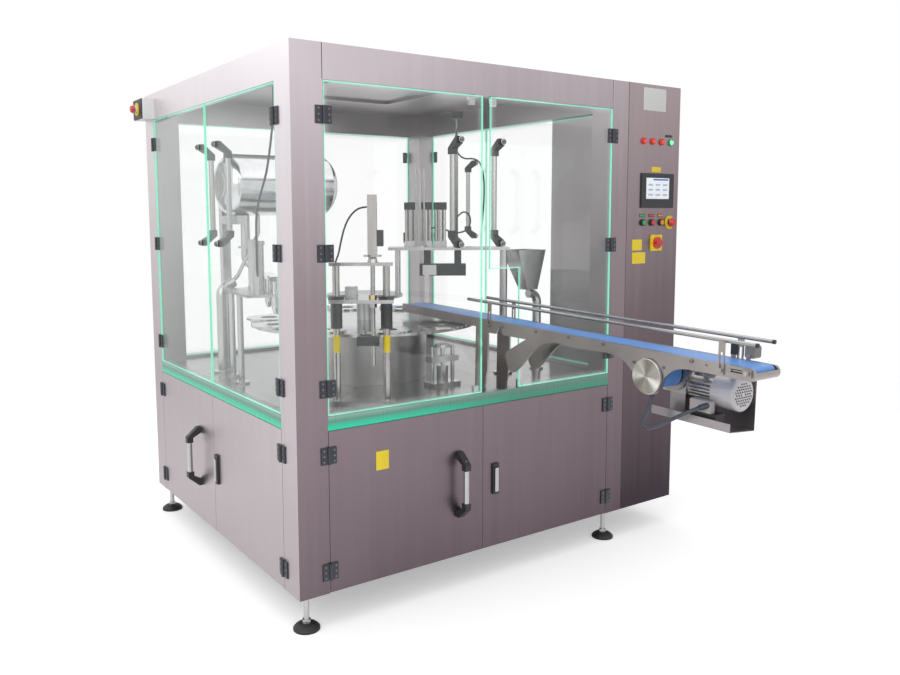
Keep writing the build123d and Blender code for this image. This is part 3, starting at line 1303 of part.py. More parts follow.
def bend_radii(points):
    """One radius for each corner, as large as its two runs allow."""
    vectors = [Vector(*b) - Vector(*a) for a, b in zip(points, points[1:])]
    radii = []
    for before, after in zip(vectors, vectors[1:]):
        half_turn = radians(before.get_angle(after)) / 2
        radii.append(CABLE_EASE * min(before.length, after.length) / tan(half_turn))
    return radii


CABLE_RADII = bend_radii(CABLE_POINTS)
with BuildPart() as motor_cable:
    with BuildLine() as cable_line:
        route = [CONVEYOR.from_local_coords(Vector(*point)) for point in CABLE_POINTS]
        FilletPolyline(*route, radius=CABLE_RADII)
    with BuildSketch(Plane(origin=cable_line.line @ 0, z_dir=cable_line.line % 0)):
        Circle(CABLE_R)
    sweep(path=cable_line.line)
cable_length = sum(edge.length for edge in cable_line.edges())
cable_ideal = pi * CABLE_R**2 * cable_length
print("cable radii", [round(r) for r in CABLE_RADII], "length", round(cable_length))
print("cable volume over ideal", round(motor_cable.part.volume / cable_ideal, 4))
print("cable route", [tuple(round(v, 1) for v in CABINET.to_local_coords(spot)) for spot in route])

NODES = {
    "cabinet_frame": [cabinet_frame],
    "roof_and_fascia": [top_fascia, roof_panel],
    "deck_plate": [deck_plate],
    "lower_covers": [lower_covers],
    "levelling_feet": [foot_pads, foot_stems],
    "hinge_pins": [hinge_pins],
    "front_glass_left": [front_glass_left],
    "front_glass_right": [front_glass_right],
    "left_glass_rear": [left_glass_rear],
    "left_glass_front": [left_glass_front],
    "rear_glass_left": [rear_glass_left],
    "rear_glass_right": [rear_glass_right],
    "right_glass_rear": [right_glass_rear],
    "right_fixed_pane": [right_fixed_pane],
    "front_lower_left": [front_lower_left],
    "front_lower_right": [front_lower_right],
    "left_lower_rear": [left_lower_rear],
    "left_lower_front": [left_lower_front],
    "lock_lever_front": [lock_lever_front],
    "lock_lever_left": [lock_lever_left],
    "control_cabinet": [control_cabinet],
    "touch_screen": [hmi_panel],
    "panel_fittings": [signal_lamps, switch_bodies],
    "green_button": [green_button],
    "red_button": [red_button],
    "orange_button": [orange_button],
    "emergency_stop_front": [emergency_stop_front],
    "isolator_knob": [isolator_knob],
    "stop_station": [stop_station],
    "emergency_stop_rear": [emergency_stop_rear],
    "index_drive": [index_gearbox, index_motor],
    "turret_drum": [turret_drum],
    "turntable": [turntable],
    "cup_holders": [cup_holders],
    "side_plates": [side_plates, tail_guard],
    "slider_bed": [slider_bed, snub_rollers],
    "conveyor_belt": [conveyor_belt],
    "drive_drum": [drive_drum],
    "tail_roller": [tail_roller],
    "nose_roller": [nose_roller],
    "guide_rails": [guide_rails, cup_sensor, junction_box],
    "worm_gearbox": [worm_gearbox],
    "gear_motor": [gear_motor, fan_cover],
    "motor_fan": [motor_fan],
    "motor_tray": [motor_tray],
    "motor_cable": [motor_cable],
    "press_columns": [press_columns, press_cylinder],
    "press_crosshead": [press_crosshead],
    "press_ram": [press_ram],
    "bridge_frame": [bridge_frame],
    "bridge_units": [lift_cylinders, stack_rods, sensor_mast, transfer_axis],
    "transfer_arm": [transfer_arm],
    "lifter_base": [lifter_base],
    "cup_lifter": [cup_lifter],
    "filling_frame": [filling_frame, dosing_cylinders],
    "filling_nozzles": [filling_nozzles],
    "product_tank": [product_tank, tank_agitator],
    "tank_stand": [tank_stand, support_pipe, outlet_pipe],
    "waste_chute": [waste_chute],
}

os.makedirs("parts", exist_ok=True)
for name, pieces in NODES.items():
    solids = [solid for piece in pieces for solid in piece.part.solids()]
    node = Compound(label=name, children=solids)
    export_step(node, f"parts/{name}.step")
    bounds = node.bounding_box()
    print(name, len(solids), [round(v) for v in (*bounds.min, *bounds.max)])
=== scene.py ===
"""Looks for the rotary cup filling machine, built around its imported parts, in metres."""

import math

import bmesh
import bpy
from mathutils import Matrix, Vector


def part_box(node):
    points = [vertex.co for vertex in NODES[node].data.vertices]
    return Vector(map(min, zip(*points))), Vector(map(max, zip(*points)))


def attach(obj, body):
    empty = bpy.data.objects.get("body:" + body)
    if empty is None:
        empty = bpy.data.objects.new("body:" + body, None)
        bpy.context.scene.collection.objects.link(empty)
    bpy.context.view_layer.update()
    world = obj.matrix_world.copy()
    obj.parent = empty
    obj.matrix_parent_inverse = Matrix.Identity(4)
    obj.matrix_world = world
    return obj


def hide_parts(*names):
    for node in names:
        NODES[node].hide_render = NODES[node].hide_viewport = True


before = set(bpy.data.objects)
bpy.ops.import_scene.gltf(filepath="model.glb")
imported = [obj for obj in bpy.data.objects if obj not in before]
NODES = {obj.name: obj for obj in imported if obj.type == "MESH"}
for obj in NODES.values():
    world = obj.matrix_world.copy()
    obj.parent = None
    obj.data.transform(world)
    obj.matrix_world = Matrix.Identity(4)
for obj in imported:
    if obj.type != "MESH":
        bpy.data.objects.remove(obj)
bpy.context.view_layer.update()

MM = 0.001
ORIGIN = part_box("cabinet_frame")[0].copy()

# Sizes that the part's source also holds, in mm and in cabinet coordinates
BODY_W, BODY_D, BODY_H = 1604.0, 1592.0, 1900.0
POST, POST_RIGHT = 120.0, 99.0
DOOR_TOP, SILL_TOP = 587.0, 637.0
DOOR_MIDDLE_Z, DOOR_TALL = 293.5, 583.0
GLASS_LOW, GLASS_TOP, GLASS_THICK = 639.0, 1778.0, 8.0
FASCIA_LOW = 1780.0
TILT = math.radians(1.1)
CONV_X, CONV_Z = 912.0, 920.0
HALF_OUT = 60.0
RAIL_H = 67.0
GLASS_HINGE_Z = (735.0, 1202.0, 1665.0)
PAN_HINGE_Z = (80.0, 499.0)
GLASS_HANDLE_Z = (1220.0, 1612.0)
GLASS_TUBE_Z = (1273.0, 1559.0)
PAN_HANDLES = {"front_lower_left": 687.0, "left_lower_rear": 627.0}
PAN_LOCKS = {"front_lower_right": 867.0, "left_lower_front": 834.0}
PAN_TUBE_Z, PAN_TUBE_OUT = (238.0, 340.0), (36.0, 59.6)
DRIVE_S, DRIVE_H = 780.0, -84.0
LAMP_X, LAMP_Z = (1701.0, 1759.0, 1818.0, 1881.0), 1654.0
BUTTON_X = (1706.0, 1766.0, 1827.0)
SCREEN_X, SCREEN_Z = (1719.0, 1874.0), (1400.0, 1495.0)
COLUMNS = ((278.0, 219.0), (431.0, 110.0))
COLUMN_LABEL_Z = (820.0, 885.0)


def at(x, y, z):
    """Frame position of a point in cabinet millimetres."""
    return ORIGIN + Vector((x, y, z)) * MM


def conv(s, h, z):
    """Frame position of a conveyor point: s outward, h up, z to the near side."""
    y = -s * math.cos(TILT) - h * math.sin(TILT)
    return at(CONV_X - z, y, CONV_Z - s * math.sin(TILT) + h * math.cos(TILT))


WALLS = {
    "front": (Vector((0, 0, 0)), Vector((1, 0, 0)), Vector((0, -1, 0))),
    "left": (Vector((0, BODY_D, 0)), Vector((0, -1, 0)), Vector((-1, 0, 0))),
    "rear": (Vector((BODY_W, BODY_D, 0)), Vector((-1, 0, 0)), Vector((0, 1, 0))),
    "right": (Vector((BODY_W, 0, 0)), Vector((0, 1, 0)), Vector((1, 0, 0))),
}


def wall(name, u, z, n):
    """Cabinet position of a point on a wall: u right, z up, n outward."""
    start, right, out = WALLS[name]
    return start + right * u + Vector((0, 0, z)) + out * n


# Camera
CAM_AT = (-1201.05, -2518.85, 1326.55)
YAW, PITCH, ROLL = 0.6039, 0.1073, -0.0032
SENSOR_W = 36.0
FOCAL_PX, IMAGE_W = 832.275, 900
IMAGE_MID, LENS_MID = (450.0, 337.5), (426.573, 305.993)
forward = Vector((math.sin(YAW) * math.cos(PITCH), math.cos(YAW) * math.cos(PITCH),
                  -math.sin(PITCH)))
flat_right = Vector((math.cos(YAW), -math.sin(YAW), 0))
flat_up = flat_right.cross(forward)
cam_right = flat_right * math.cos(ROLL) + flat_up * math.sin(ROLL)
cam_up = flat_up * math.cos(ROLL) - flat_right * math.sin(ROLL)
cam_data = bpy.data.cameras.new("camera")
cam_data.sensor_width = SENSOR_W
cam_data.lens = FOCAL_PX / IMAGE_W * SENSOR_W
cam_data.shift_x = (IMAGE_MID[0] - LENS_MID[0]) / IMAGE_W
cam_data.shift_y = (LENS_MID[1] - IMAGE_MID[1]) / IMAGE_W
cam_data.clip_end = 60
camera = bpy.data.objects.new("camera", cam_data)
bpy.context.scene.collection.objects.link(camera)
turn = Matrix((cam_right, cam_up, -forward)).transposed().to_4x4()
camera.matrix_world = Matrix.Translation(at(*CAM_AT)) @ turn
bpy.context.scene.camera = camera


# Cords: the motor cable, and the hoses inside the cabinet
def soft_line(name, points, diameter):
    """A smooth curve through its control points."""
    data = bpy.data.curves.new(name, "CURVE")
    data.dimensions = "3D"
    spline = data.splines.new("NURBS")
    spline.points.add(len(points) - 1)
    for spot, point in zip(spline.points, points):
        spot.co = (*point, 1)
    spline.order_u = 3
    spline.use_endpoint_u = True
    spline.resolution_u = 12
    line = bpy.data.objects.new(name, data)
    bpy.context.scene.collection.objects.link(line)
    traced = bpy.data.meshes.new_from_object(line)
    bpy.data.meshes.remove(traced)
    data.bevel_depth = diameter / 2
    data.bevel_resolution = 5
    data.use_fill_caps = True
    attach(line, "machine")
    return line


# Routes in cabinet mm: the cable's repeats the source's points, a hose has its diameter first
CABLE_THICK = 12.0
CABLE_ROUTE = [
    (927.4, -917.4, 734.2), (911.2, -907.3, 728.4), (890.0, -876.1, 707.1), (867.0, -777.9, 646.0),
    (867.0, -757.0, 650.4), (867.0, -747.4, 670.6), (868.0, -780.7, 739.0), (868.0, -781.0, 757.7),
]
HOSES = {
    "mast_hose": (7.0, [
        (1026, 462, 1747), (1024, 460, 1715), (1006, 456, 1668), (1010, 462, 1625),
        (1040, 470, 1592), (1083, 480, 1580), (1128, 486, 1586), (1166, 478, 1570),
        (1172, 460, 1500), (1150, 432, 1400), (1122, 408, 1310), (1110, 400, 1250),
        (1110, 400, 1194),
    ]),
    "cylinder_hose": (7.0, [
        (887, 547, 1268), (905, 532, 1266), (945, 508, 1282), (985, 500, 1268), (1020, 497, 1254),
        (1056, 492, 1252), (1092, 486, 1262), (1112, 480, 1292), (1104, 476, 1330),
        (1076, 474, 1348), (1048, 474, 1340), (1026, 467, 1322),
    ]),
    "left_hose": (9.0, [
        (170, 500, 1895), (170, 500, 1830), (169, 500, 1740), (166, 502, 1690), (160, 510, 1620),
        (154, 522, 1550), (152, 545, 1490), (152, 585, 1440), (152, 625, 1385), (152, 652, 1325),
        (152, 655, 1255), (154, 660, 1185), (158, 672, 1120), (172, 692, 1060), (190, 710, 1013),
    ]),
    "press_hose": (7.0, [
        (390, 161, 1362), (372, 172, 1362), (350, 190, 1352), (330, 210, 1322), (318, 226, 1280),
        (312, 240, 1230), (306, 246, 1190), (292, 240, 1166), (282, 228, 1159),
    ]),
}


# Materials
def new_material(name):
    made = bpy.data.materials.new(name)
    made.use_nodes = True
    return made, made.node_tree, made.node_tree.nodes["Principled BSDF"]


def coords(tree, scale=1):
    """Object coordinates, in the frame's metres; scale is one number or one for each axis."""
    spot = tree.nodes.new("ShaderNodeTexCoord")
    grow = tree.nodes.new("ShaderNodeMapping")
    grow.inputs["Scale"].default_value = scale if isinstance(scale, tuple) else (scale,) * 3
    tree.links.new(spot.outputs["Object"], grow.inputs["Vector"])
    return grow.outputs["Vector"]


def calc(tree, operation, *values, clamp=False):
    """A math node; each value is a socket or a number."""
    made = tree.nodes.new("ShaderNodeMath")
    made.operation = operation
    made.use_clamp = clamp
    for socket, value in zip(made.inputs, values):
        if isinstance(value, (int, float)):
            socket.default_value = value
        else:
            tree.links.new(value, socket)
    return made.outputs[0]


def noise(tree, scale, detail=3.0):
    """Noise with scale cells to the metre."""
    made = tree.nodes.new("ShaderNodeTexNoise")
    made.inputs["Scale"].default_value = 1.0
    made.inputs["Detail"].default_value = detail
    made.inputs["Roughness"].default_value = 0.55
    tree.links.new(coords(tree, scale), made.inputs["Vector"])
    return made.outputs["Fac"]


def stops(tree, value, *points):
    """A colour ramp; each point is (position, colour)."""
    made = tree.nodes.new("ShaderNodeValToRGB")
    line = made.color_ramp.elements
    for element, (position, color) in zip(line, points):
        element.position = position
        element.color = (*color, 1)
    for position, color in points[2:]:
        line.new(position).color = (*color, 1)
    tree.links.new(value, made.inputs["Fac"])
    return made.outputs["Color"]


def spread(tree, value, low, high, start=0.3, stop=0.7):
    """Maps start to stop onto low to high; the standing range is where noise mostly lies."""
    made = tree.nodes.new("ShaderNodeMapRange")
    made.inputs["From Min"].default_value = start
    made.inputs["From Max"].default_value = stop
    made.inputs["To Min"].default_value = low
    made.inputs["To Max"].default_value = high
    tree.links.new(value, made.inputs["Value"])
    return made.outputs["Result"]


def bump(tree, shader, value, strength, distance):
    made = tree.nodes.new("ShaderNodeBump")
    made.inputs["Strength"].default_value = strength
    made.inputs["Distance"].default_value = distance
    tree.links.new(value, made.inputs["Height"])
    tree.links.new(made.outputs["Normal"], shader.inputs["Normal"])


def blend(tree, factor, first, second):
    """Mixes two colours; the second may be a plain colour."""
    made = tree.nodes.new("ShaderNodeMix")
    made.data_type = "RGBA"
    tree.links.new(factor, made.inputs["Factor"])
    tree.links.new(first, made.inputs["A"])
    if isinstance(second, tuple):
        made.inputs["B"].default_value = (*second, 1)
    else:
        tree.links.new(second, made.inputs["B"])
    return made.outputs["Result"]


def place_split(tree):
    """The frame position of the point, by axis."""
    split = tree.nodes.new("ShaderNodeSeparateXYZ")
    tree.links.new(coords(tree), split.inputs["Vector"])
    return split.outputs


def surface(name, color, vary, rough, metal, grain, slow, relief, coat=0.0, glow=None, band=None):
    """A procedural finish: fine grain in roughness and bump, slow drift in colour.

    grain and slow are cells to the metre, relief is (strength, depth in metres), glow is
    (colour, strength) and band is (colour, low z, high z) in cabinet mm for a label that is
    wrapped round a piece.
    """
    made, tree, shader = new_material(name)
    shader.inputs["Metallic"].default_value = metal
    shader.inputs["Coat Weight"].default_value = coat
    fine = noise(tree, grain, detail=4.0)
    drift = noise(tree, slow, detail=2.0)
    both = calc(tree, "MULTIPLY_ADD", fine, 0.45, calc(tree, "MULTIPLY", drift, 0.55))
    low = tuple(c * (1 - vary) for c in color)
    high = tuple(min(1.0, c * (1 + vary)) for c in color)
    tone = stops(tree, both, (0.3, low), (0.7, high))
    if band:
        height = place_split(tree)["Z"]
        above = calc(tree, "GREATER_THAN", height, at(0, 0, band[1]).z)
        below = calc(tree, "LESS_THAN", height, at(0, 0, band[2]).z)
        inside = calc(tree, "MULTIPLY", above, below)
        tone = blend(tree, inside, tone, band[0])
        tree.links.new(calc(tree, "SUBTRACT", metal, inside, clamp=True), shader.inputs["Metallic"])
    tree.links.new(tone, shader.inputs["Base Color"])
    tree.links.new(spread(tree, fine, *rough), shader.inputs["Roughness"])
    bump(tree, shader, fine, *relief)
    if glow:
        shader.inputs["Emission Color"].default_value = (*glow[0], 1)
        shader.inputs["Emission Strength"].default_value = glow[1]
    return made


# Brushed sheet: cells to the metre of its grain, streaks and clouds, and their parts of its tone
UPRIGHT, STREAKS, CLOUDS = (420, 420, 5), (38, 38, 0.9), (1.3, 1.3, 0.7)
GRAIN_PART, STREAK_PART, CLOUD_PART = 0.05, 0.10, 0.16
# A seam's two lines, a painted highlight on the fold and a dark joint: (place in mm beside it,
# colour), and their half width in metres
SEAM_HIGHLIGHT = (1.6, (0.62, 0.55, 0.57))
SEAM_DARK = (-1.4, (0.06, 0.05, 0.055))
SEAM_HALF = 0.0015


def sheet_finish(name, painted_light_slopes, tones, seams=()):
    """Brushed sheet with painted light and shade: its tone slopes with place, and the slopes give
    that painted drift along x, y and z.

    tones are the stops of its colour ramp. Each seam is (x, lowest z) in cabinet mm: a joint
    between two sheets, a dark line beside a painted highlight on the fold.
    """
    made, tree, shader = new_material(name)
    shader.inputs["Metallic"].default_value = 1.0
    fine = noise(tree, UPRIGHT, detail=4.0)
    slow = noise(tree, CLOUDS, detail=2.0)
    middle = at(BODY_W / 2, BODY_D / 2, BODY_H / 2)
    axes = place_split(tree)
    total = 0.5
    # Painted light and shade: the tone slopes with place along each axis by its weight
    for axis, weight, centre in zip("XYZ", painted_light_slopes, middle):
        if weight:
            total = calc(tree, "MULTIPLY_ADD", axes[axis], weight, total)
            total = calc(tree, "SUBTRACT", total, weight * centre)
    total = calc(tree, "MULTIPLY_ADD", slow, CLOUD_PART, total)
    total = calc(tree, "MULTIPLY_ADD", fine, GRAIN_PART, total)
    total = calc(tree, "MULTIPLY_ADD", noise(tree, STREAKS), STREAK_PART, total)
    total = calc(tree, "SUBTRACT", total, (CLOUD_PART + GRAIN_PART + STREAK_PART) / 2)
    tone = stops(tree, total, *tones)
    # Each seam: a painted highlight along the fold and a dark joint line beside it
    for x, low in seams:
        above = calc(tree, "GREATER_THAN", axes["Z"], at(0, 0, low).z)
        for shift, color in (SEAM_HIGHLIGHT, SEAM_DARK):
            line = calc(tree, "COMPARE", axes["X"], at(x + shift, 0, 0).x, SEAM_HALF)
            tone = blend(tree, calc(tree, "MULTIPLY", line, above), tone, color)
    tree.links.new(tone, shader.inputs["Base Color"])
    tree.links.new(spread(tree, fine, 0.30, 0.42), shader.inputs["Roughness"])
    bump(tree, shader, fine, 0.06, 0.0001)
    return made


# One brushed steel in four copies of painted light and shade: the plain sheet, the left side's
# lighter, the front's and the control cabinet's darker, each lighter towards the top and the front
# ones darker to the right
sheet = sheet_finish("sheet_steel", (0.0, 0.0, 0.15),
                     ((0.0, (0.30, 0.275, 0.285)), (1.0, (0.47, 0.44, 0.455))))
left_steel_painted_light = sheet_finish("left_steel_painted_light", (0.0, -0.10, 0.40),
                          ((0.05, (0.38, 0.33, 0.35)), (0.30, (0.42, 0.37, 0.385)),
                           (0.68, (0.68, 0.62, 0.645)), (0.90, (0.81, 0.76, 0.79))))
front_steel_painted_shade = sheet_finish("front_steel_painted_shade", (-0.11, 0.0, 0.42),
                           ((0.02, (0.11, 0.083, 0.096)), (0.30, (0.205, 0.163, 0.18)),
                            (0.62, (0.30, 0.245, 0.265)), (0.95, (0.54, 0.48, 0.51))),
                           seams=((POST, FASCIA_LOW), (BODY_W - POST_RIGHT, FASCIA_LOW),
                                  (BODY_W, 0)))
control_steel_painted_shade = sheet_finish("control_steel_painted_shade", (-0.10, 0.0, 0.42),
                             ((0.05, (0.046, 0.033, 0.042)), (0.40, (0.17, 0.13, 0.145)),
                              (0.72, (0.34, 0.275, 0.29)), (0.95, (0.45, 0.38, 0.395))))
bright = surface("bright_steel", (0.46, 0.455, 0.455), vary=0.14, rough=(0.22, 0.30), metal=1.0,
                 grain=1400, slow=(5, 5, 2), relief=(0.01, 0.0001))
screw_steel = surface("screw_steel", (0.20, 0.19, 0.20), vary=0.2, rough=(0.3, 0.4), metal=1.0,
                      grain=160, slow=16, relief=(0.02, 0.0001))
plate = surface("milled_steel", (0.36, 0.33, 0.32), vary=0.14, rough=(0.26, 0.38), metal=1.0,
                grain=(30, 500, 500), slow=7, relief=(0.03, 0.0001))
polish = surface("polished_steel", (0.62, 0.62, 0.63), vary=0.08, rough=(0.08, 0.16), metal=1.0,
                 grain=(80, 80, 5), slow=3, relief=(0.02, 0.0001))
tank_steel = surface("tank_steel", (0.60, 0.60, 0.61), vary=0.14, rough=(0.14, 0.22), metal=1.0,
                     grain=40, slow=(2.5, 2.5, 5), relief=(0.02, 0.0001))
# Colour drift stretched along the drum's axis and along the rails: painted reflection streaks, with
# the grain
drum_steel = surface("drum_steel", (0.32, 0.31, 0.31), vary=0.20, rough=(0.30, 0.38), metal=1.0,
                     grain=(20, 20, 1), slow=(9, 9, 0.5), relief=(0.002, 0.0001))
rail_steel = surface("rail_steel", (0.36, 0.35, 0.34), vary=0.25, rough=(0.18, 0.28), metal=1.0,
                     grain=(90, 1, 90), slow=(45, 0.5, 45), relief=(0.01, 0.0001))
dark_deck = surface("deck_steel", (0.22, 0.21, 0.21), vary=0.16, rough=(0.16, 0.26), metal=1.0,
                    grain=(40, 2, 40), slow=2, relief=(0.002, 0.0001))
black = surface("black_nylon", (0.020, 0.021, 0.024), vary=0.2, rough=(0.40, 0.55), metal=0.0,
                grain=900, slow=8, relief=(0.2, 0.0002))
hinge = surface("hinge_nylon", (0.038, 0.040, 0.052), vary=0.15, rough=(0.4, 0.55), metal=0.0,
                grain=900, slow=8, relief=(0.2, 0.0002))
rubber = surface("foot_rubber", (0.016, 0.016, 0.018), vary=0.25, rough=(0.45, 0.7), metal=0.0,
                 grain=500, slow=8, relief=(0.3, 0.0004))
white_nylon = surface("white_nylon", (0.80, 0.80, 0.78), vary=0.04, rough=(0.3, 0.45), metal=0.0,
                      grain=300, slow=8, relief=(0.08, 0.0002))
grey_box = surface("grey_housing", (0.24, 0.22, 0.22), vary=0.06, rough=(0.4, 0.55), metal=0.0,
                   grain=500, slow=6, relief=(0.15, 0.0002))
cream_box = surface("terminal_box", (0.46, 0.43, 0.42), vary=0.07, rough=(0.4, 0.55), metal=0.1,
                    grain=500, slow=9, relief=(0.05, 0.0002))
cast = surface("cast_alloy", (0.50, 0.50, 0.51), vary=0.10, rough=(0.34, 0.50), metal=0.85,
               grain=240, slow=9, relief=(0.25, 0.0004))
fins = surface("motor_fins", (0.42, 0.40, 0.40), vary=0.10, rough=(0.24, 0.36), metal=0.8,
               grain=260, slow=9, relief=(0.04, 0.0001))
cover_paint = surface("cover_paint", (0.60, 0.58, 0.60), vary=0.04, rough=(0.22, 0.30), metal=0.0,
                      grain=260, slow=9, relief=(0.02, 0.0001), coat=0.4)
brass = surface("brass", (0.72, 0.52, 0.22), vary=0.1, rough=(0.25, 0.4), metal=1.0, grain=200,
                slow=9, relief=(0.05, 0.0002))
GLOSS = {"metal": 0.0, "grain": 200, "slow": 9, "relief": (0.05, 0.0002)}
red = surface("red_gloss", (0.62, 0.02, 0.018), vary=0.08, rough=(0.16, 0.28), **GLOSS, coat=0.3)
green = surface("green_gloss", (0.02, 0.36, 0.10), vary=0.08, rough=(0.18, 0.3), **GLOSS, coat=0.3)
orange = surface("orange_gloss", (0.80, 0.25, 0.02), vary=0.08, rough=(0.18, 0.3), **GLOSS,
                 coat=0.3)
YELLOW = (0.86, 0.66, 0.02)
yellow = surface("yellow_gloss", YELLOW, vary=0.05, rough=(0.28, 0.4), **GLOSS)
belt_blue = surface("belt_blue", (0.12, 0.30, 0.70), vary=0.08, rough=(0.34, 0.48), metal=0.0,
                    grain=900, slow=5, relief=(0.3, 0.0002))
conduit = surface("conduit", (0.045, 0.060, 0.080), vary=0.15, rough=(0.36, 0.5), metal=0.0,
                  grain=600, slow=9, relief=(0.15, 0.0002))
hose_black = surface("hose_black", (0.014, 0.014, 0.016), vary=0.2, rough=(0.3, 0.42), metal=0.0,
                     grain=600, slow=9, relief=(0.1, 0.0002))
lamp_red = surface("lamp_red", (0.70, 0.03, 0.01), vary=0.06, rough=(0.12, 0.2), **GLOSS, coat=0.5,
                   glow=((1.0, 0.05, 0.01), 0.35))
lamp_green = surface("lamp_green", (0.10, 0.62, 0.34), vary=0.06, rough=(0.12, 0.2), **GLOSS,
                     coat=0.5, glow=((0.25, 1.0, 0.55), 0.9))
DISPLAY = {"metal": 0.0, "grain": 60, "slow": 3, "relief": (0.02, 0.0001), "coat": 0.4}
screen = surface("screen_glass", (0.72, 0.77, 0.82), vary=0.02, rough=(0.10, 0.16), **DISPLAY,
                 glow=((0.8, 0.86, 0.9), 0.3))
blue_bar = surface("screen_blue", (0.03, 0.12, 0.42), vary=0.04, rough=(0.12, 0.2), **DISPLAY,
                   glow=((0.03, 0.12, 0.42), 0.3))
field_grey = surface("screen_field", (0.40, 0.44, 0.56), vary=0.04, rough=(0.12, 0.2), **DISPLAY,
                     glow=((0.5, 0.5, 0.62), 0.2))
pale_plate = surface("pale_plate", (0.66, 0.67, 0.66), vary=0.04, rough=(0.3, 0.4), metal=0.2,
                     grain=300, slow=6, relief=(0.04, 0.0001))
# Ground edges of the panes: the glass's own green seen edge on, with a painted glow in place of the
# light they carry
edge_green_glow = surface("glass_edge", (0.20, 0.66, 0.48), vary=0.12, rough=(0.08, 0.16), metal=0.0,
                     grain=25, slow=2, relief=(0.02, 0.0001), coat=0.5,
                     glow=((0.20, 0.85, 0.58), 0.35))
# Colour drift stretched along z: painted reflection streaks down the round columns and rods
column_steel = surface("column_steel", (0.44, 0.42, 0.41), vary=0.18, rough=(0.16, 0.28),
                       metal=1.0, grain=(90, 90, 3), slow=(30, 30, 0.6), relief=(0.02, 0.0001),
                       band=(YELLOW, *COLUMN_LABEL_Z))
rod_steel = surface("rod_steel", (0.42, 0.415, 0.41), vary=0.30, rough=(0.14, 0.26), metal=1.0,
                    grain=(90, 90, 3), slow=(45, 45, 0.5), relief=(0.02, 0.0001))
ring_steel = surface("ring_steel", (0.48, 0.485, 0.48), vary=0.25, rough=(0.12, 0.24), metal=1.0,
                     grain=60, slow=14, relief=(0.02, 0.0001))

# The sill's light fades between these two places, along x in mm
SILL_FADE = (350, 1000)


def lit_sill():
    """The sill below the panes: lit green along its foot, dull by the glass and to the right."""
    made, tree, shader = new_material("lit_sill")
    shader.inputs["Metallic"].default_value = 0.7
    shader.inputs["Emission Color"].default_value = (0.03, 0.62, 0.36, 1)
    axes = place_split(tree)
    low, high = at(0, 0, DOOR_TOP).z, at(0, 0, SILL_TOP).z
    rise = spread(tree, axes["Z"], 0.0, 1.0, low, high)
    rise = calc(tree, "MULTIPLY_ADD", noise(tree, 3, detail=2.0), 0.20, rise)
    rise = calc(tree, "SUBTRACT", rise, 0.10)
    fade = spread(tree, axes["X"], 1.0, 0.12, *[at(x, 0, 0).x for x in SILL_FADE])
    lit = stops(tree, rise, (0.05, (0.03, 0.42, 0.27)), (0.40, (0.06, 0.40, 0.27)),
                (0.62, (0.13, 0.27, 0.22)), (0.95, (0.26, 0.42, 0.36)))
    dull = stops(tree, rise, (0.05, (0.06, 0.24, 0.17)), (0.95, (0.15, 0.25, 0.21)))
    tree.links.new(blend(tree, fade, dull, lit), shader.inputs["Base Color"])
    glow = calc(tree, "MULTIPLY", spread(tree, rise, 0.30, 0.02, 0.10, 0.60), fade)
    tree.links.new(glow, shader.inputs["Emission Strength"])
    tree.links.new(spread(tree, noise(tree, UPRIGHT), 0.26, 0.36), shader.inputs["Roughness"])
    return made


# Turning marks: radians of their wave to the metre
TOOL_MARKS = 9000.0


def disc_steel():
    """Turned aluminium face: painted highlights, light and dark wedges round the shaft in place of
    its reflections, with the facing marks in roughness and bump.
    """
    made, tree, shader = new_material("turned_disc")
    shader.inputs["Metallic"].default_value = 1.0
    centre = conv(DRIVE_S, DRIVE_H, 0)
    offset = tree.nodes.new("ShaderNodeVectorMath")
    offset.operation = "SUBTRACT"
    offset.inputs[1].default_value = centre
    tree.links.new(coords(tree), offset.inputs[0])
    split = tree.nodes.new("ShaderNodeSeparateXYZ")
    tree.links.new(offset.outputs["Vector"], split.inputs["Vector"])
    across, up = split.outputs["Y"], split.outputs["Z"]
    # Painted highlights: wedges of light and dark by the angle round the shaft
    angle = calc(tree, "ARCTAN2", up, across)
    wave = calc(tree, "SINE", calc(tree, "MULTIPLY_ADD", angle, 2.0, 0.9))
    second = calc(tree, "SINE", calc(tree, "MULTIPLY_ADD", angle, 5.0, 2.1))
    total = calc(tree, "MULTIPLY_ADD", wave, 0.26, calc(tree, "MULTIPLY_ADD", second, 0.16, 0.46))
    square = calc(tree, "ADD", calc(tree, "POWER", across, 2.0), calc(tree, "POWER", up, 2.0))
    rings = calc(tree, "SINE", calc(tree, "MULTIPLY", calc(tree, "SQRT", square), TOOL_MARKS))
    tree.links.new(stops(tree, total, (0.12, (0.27, 0.255, 0.22)), (0.50, (0.44, 0.42, 0.37)),
                         (0.9, (0.90, 0.89, 0.84))), shader.inputs["Base Color"])
    tree.links.new(spread(tree, rings, 0.2, 0.3, -1.0, 1.0), shader.inputs["Roughness"])
    bump(tree, shader, rings, 0.05, 0.0001)
    return made


sill_green = lit_sill()
disc_face = disc_steel()

# How far the green light reaches in from a pane's edge, in metres
GLOW_WIDE = 0.007
GLOW_HALO = 0.050


